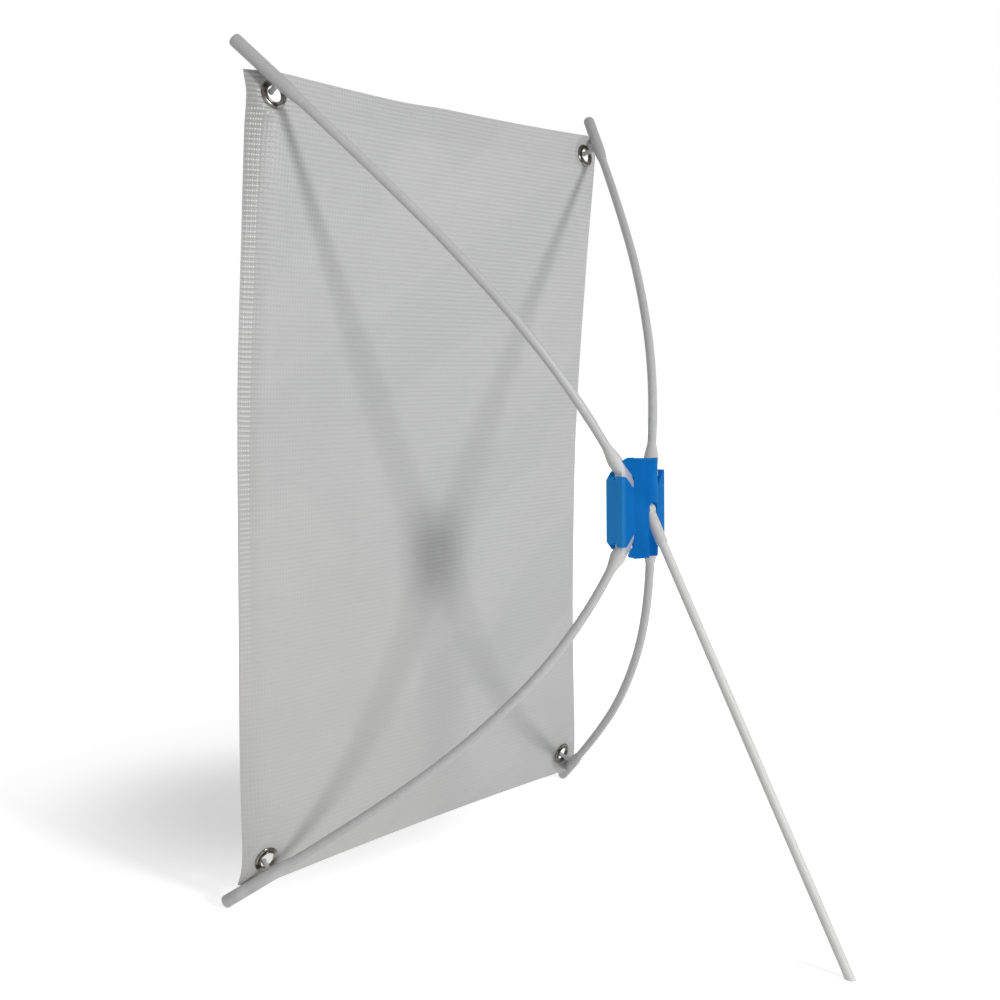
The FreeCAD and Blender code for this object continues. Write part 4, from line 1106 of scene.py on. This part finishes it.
# %% [markdown]
# ## Leg rod and pins
# The leg is a straight length of the same kind of rod, sawn off flat where it stands. A circle is pushed
# out along the leg's line past the floor, and Bisect cuts it at the floor. The pins stay as imported, with
# the steel finish.

# %% Leg and pins
LEG_PIN = 7.0
LEG_FOOT = 266.94
LEG_START = 5.3
leg_pivot = STAND @ (HUB_CENTRE + PITCH @ Vector((0, LEG_PIN, 0)))
leg_foot = Vector((0, (LEG_FOOT + SHIFT) * MM, 0))
leg_line = leg_foot - leg_pivot
leg_shape = bmesh.new()
bmesh.ops.create_circle(
    leg_shape, segments=32, radius=ROD_RADIUS * MM, matrix=Matrix.Rotation(math.radians(90), 4, "Y"))
bmesh.ops.translate(leg_shape, verts=leg_shape.verts, vec=(LEG_START * MM, 0, 0))
push(leg_shape, leg_shape.edges[:], (leg_line.length, 0, 0))
bmesh.ops.transform(leg_shape, matrix=aimed(leg_pivot, leg_line, REAR), verts=leg_shape.verts)
bmesh.ops.bisect_plane(
    leg_shape, geom=leg_shape.verts[:] + leg_shape.edges[:] + leg_shape.faces[:],
    plane_co=(0, 0, 0), plane_no=(0, 0, -1), clear_outer=True)
open_edges = [edge for edge in leg_shape.edges if edge.is_boundary]
bmesh.ops.holes_fill(leg_shape, edges=open_edges, sides=0)
finished("straight_leg", leg_shape, Matrix.Identity(4), leg_lit_finish, "leg", ["leg_rod"])
for name, node in nodes.items():
    if "pin" in name:
        node.data.materials.clear()
        node.data.materials.append(steel_finish.material)
    if not node.data.materials:
        node.data.materials.append(moulded_finish.material)
print("the leg is", round(leg_line.length / MM, 1), "mm long from its pin")

# %% [markdown]
# ## Floor and backdrop
# The stand is on a white sheet, lit so that only its soft shadow shows. The floor is plain white, and for
# the camera alone it glows a little more away from the stand, so it meets the white backdrop without a
# line. Its glow is least in a patch in front of the banner, a painted shadow that deepens the real one
# there.
# Glossy and transmitted rays see the same glow, but no light is added to the object.

# %% Floor
floor_mesh = bpy.data.meshes.new("floor")
floor_shape = bmesh.new()
bmesh.ops.create_grid(floor_shape, x_segments=1, y_segments=1, size=4.0)
floor_shape.to_mesh(floor_mesh)
floor_shape.free()
floor = bpy.data.objects.new("floor", floor_mesh)
bpy.context.scene.collection.objects.link(floor)
floor_finish = Finish(
    "white_floor", Base_Color=(0.93, 0.93, 0.93, 1), Roughness=1.0, Specular_IOR_Level=0.0,
    Emission_Strength=1.0)
floor_x, floor_y, _ = floor_finish.axes(floor_finish.place())


def distance(x, y):
    """How far a point of the floor is from a place, given how far it is across and along."""
    return (x * x + y * y).power(0.5)


away = distance(floor_x, floor_y).ramp(0.35, 0.85)
# Near a point in front of the banner the glow is lower, which deepens the shadow there as a painted shadow.
away_from_painted_shadow = distance(floor_x - 0.03, floor_y + 0.25).ramp(0.03, 0.17)
path = floor_finish.node("ShaderNodeLightPath")
seen = (floor_finish.field(path, "Is Camera Ray") + floor_finish.field(path, "Is Glossy Ray")
        + floor_finish.field(path, "Is Transmission Ray")).at_most(1.0)
glow = away.mix(away_from_painted_shadow.mix((0.24, 0.24, 0.24), (0.54, 0.54, 0.54)), (1.0, 1.0, 1.0))
floor_finish.set(Emission_Color=seen.mix((0.0, 0.0, 0.0), glow))
floor_mesh.materials.append(floor_finish.material)
print("the floor is", floor.dimensions.x, "m wide")

# %% [markdown]
# ## White light all round
# Most of the light is even and comes from all round, as in a white tent. The camera sees it as the white
# backdrop: Light Path's camera ray picks a full white there, and the object gets the softer light.

# %% World
world = bpy.data.worlds.new("studio")
world.use_nodes = True
bpy.context.scene.world = world
tree = world.node_tree
sky = tree.nodes["Background"]
white = tree.nodes.new("ShaderNodeBackground")
for background, strength in ((sky, 0.45), (white, 1.0)):
    background.inputs["Color"].default_value = (1, 1, 1, 1)
    background.inputs["Strength"].default_value = strength
ways = tree.nodes.new("ShaderNodeLightPath")
choice = tree.nodes.new("ShaderNodeMixShader")
tree.links.new(ways.outputs["Is Camera Ray"], choice.inputs[0])
tree.links.new(sky.outputs[0], choice.inputs[1])
tree.links.new(white.outputs[0], choice.inputs[2])
tree.links.new(choice.outputs[0], tree.nodes["World Output"].inputs["Surface"])
print("the world is", world.name)

# %% [markdown]
# ## The lamp
# One soft lamp stands behind the banner and a little to its left, low enough for the hub and the rods to
# throw their shadows on the cloth. A disk gives the shadows the soft edges that they have in the picture.

# %% Lamp
LAMP_PLACE = Vector((0.06, 1.2, 0.55))
LAMP_TARGET = Vector((0, 0, 0.2))
lamp_data = bpy.data.lights.new("key", "AREA")
lamp_data.shape = "DISK"
lamp_data.size = 0.25
lamp_data.energy = 7.5
lamp = bpy.data.objects.new("key", lamp_data)
lamp.location = LAMP_PLACE
lamp.rotation_euler = (LAMP_TARGET - LAMP_PLACE).to_track_quat("-Z", "Y").to_euler()
bpy.context.scene.collection.objects.link(lamp)
print("lit by the lamp", lamp.name)
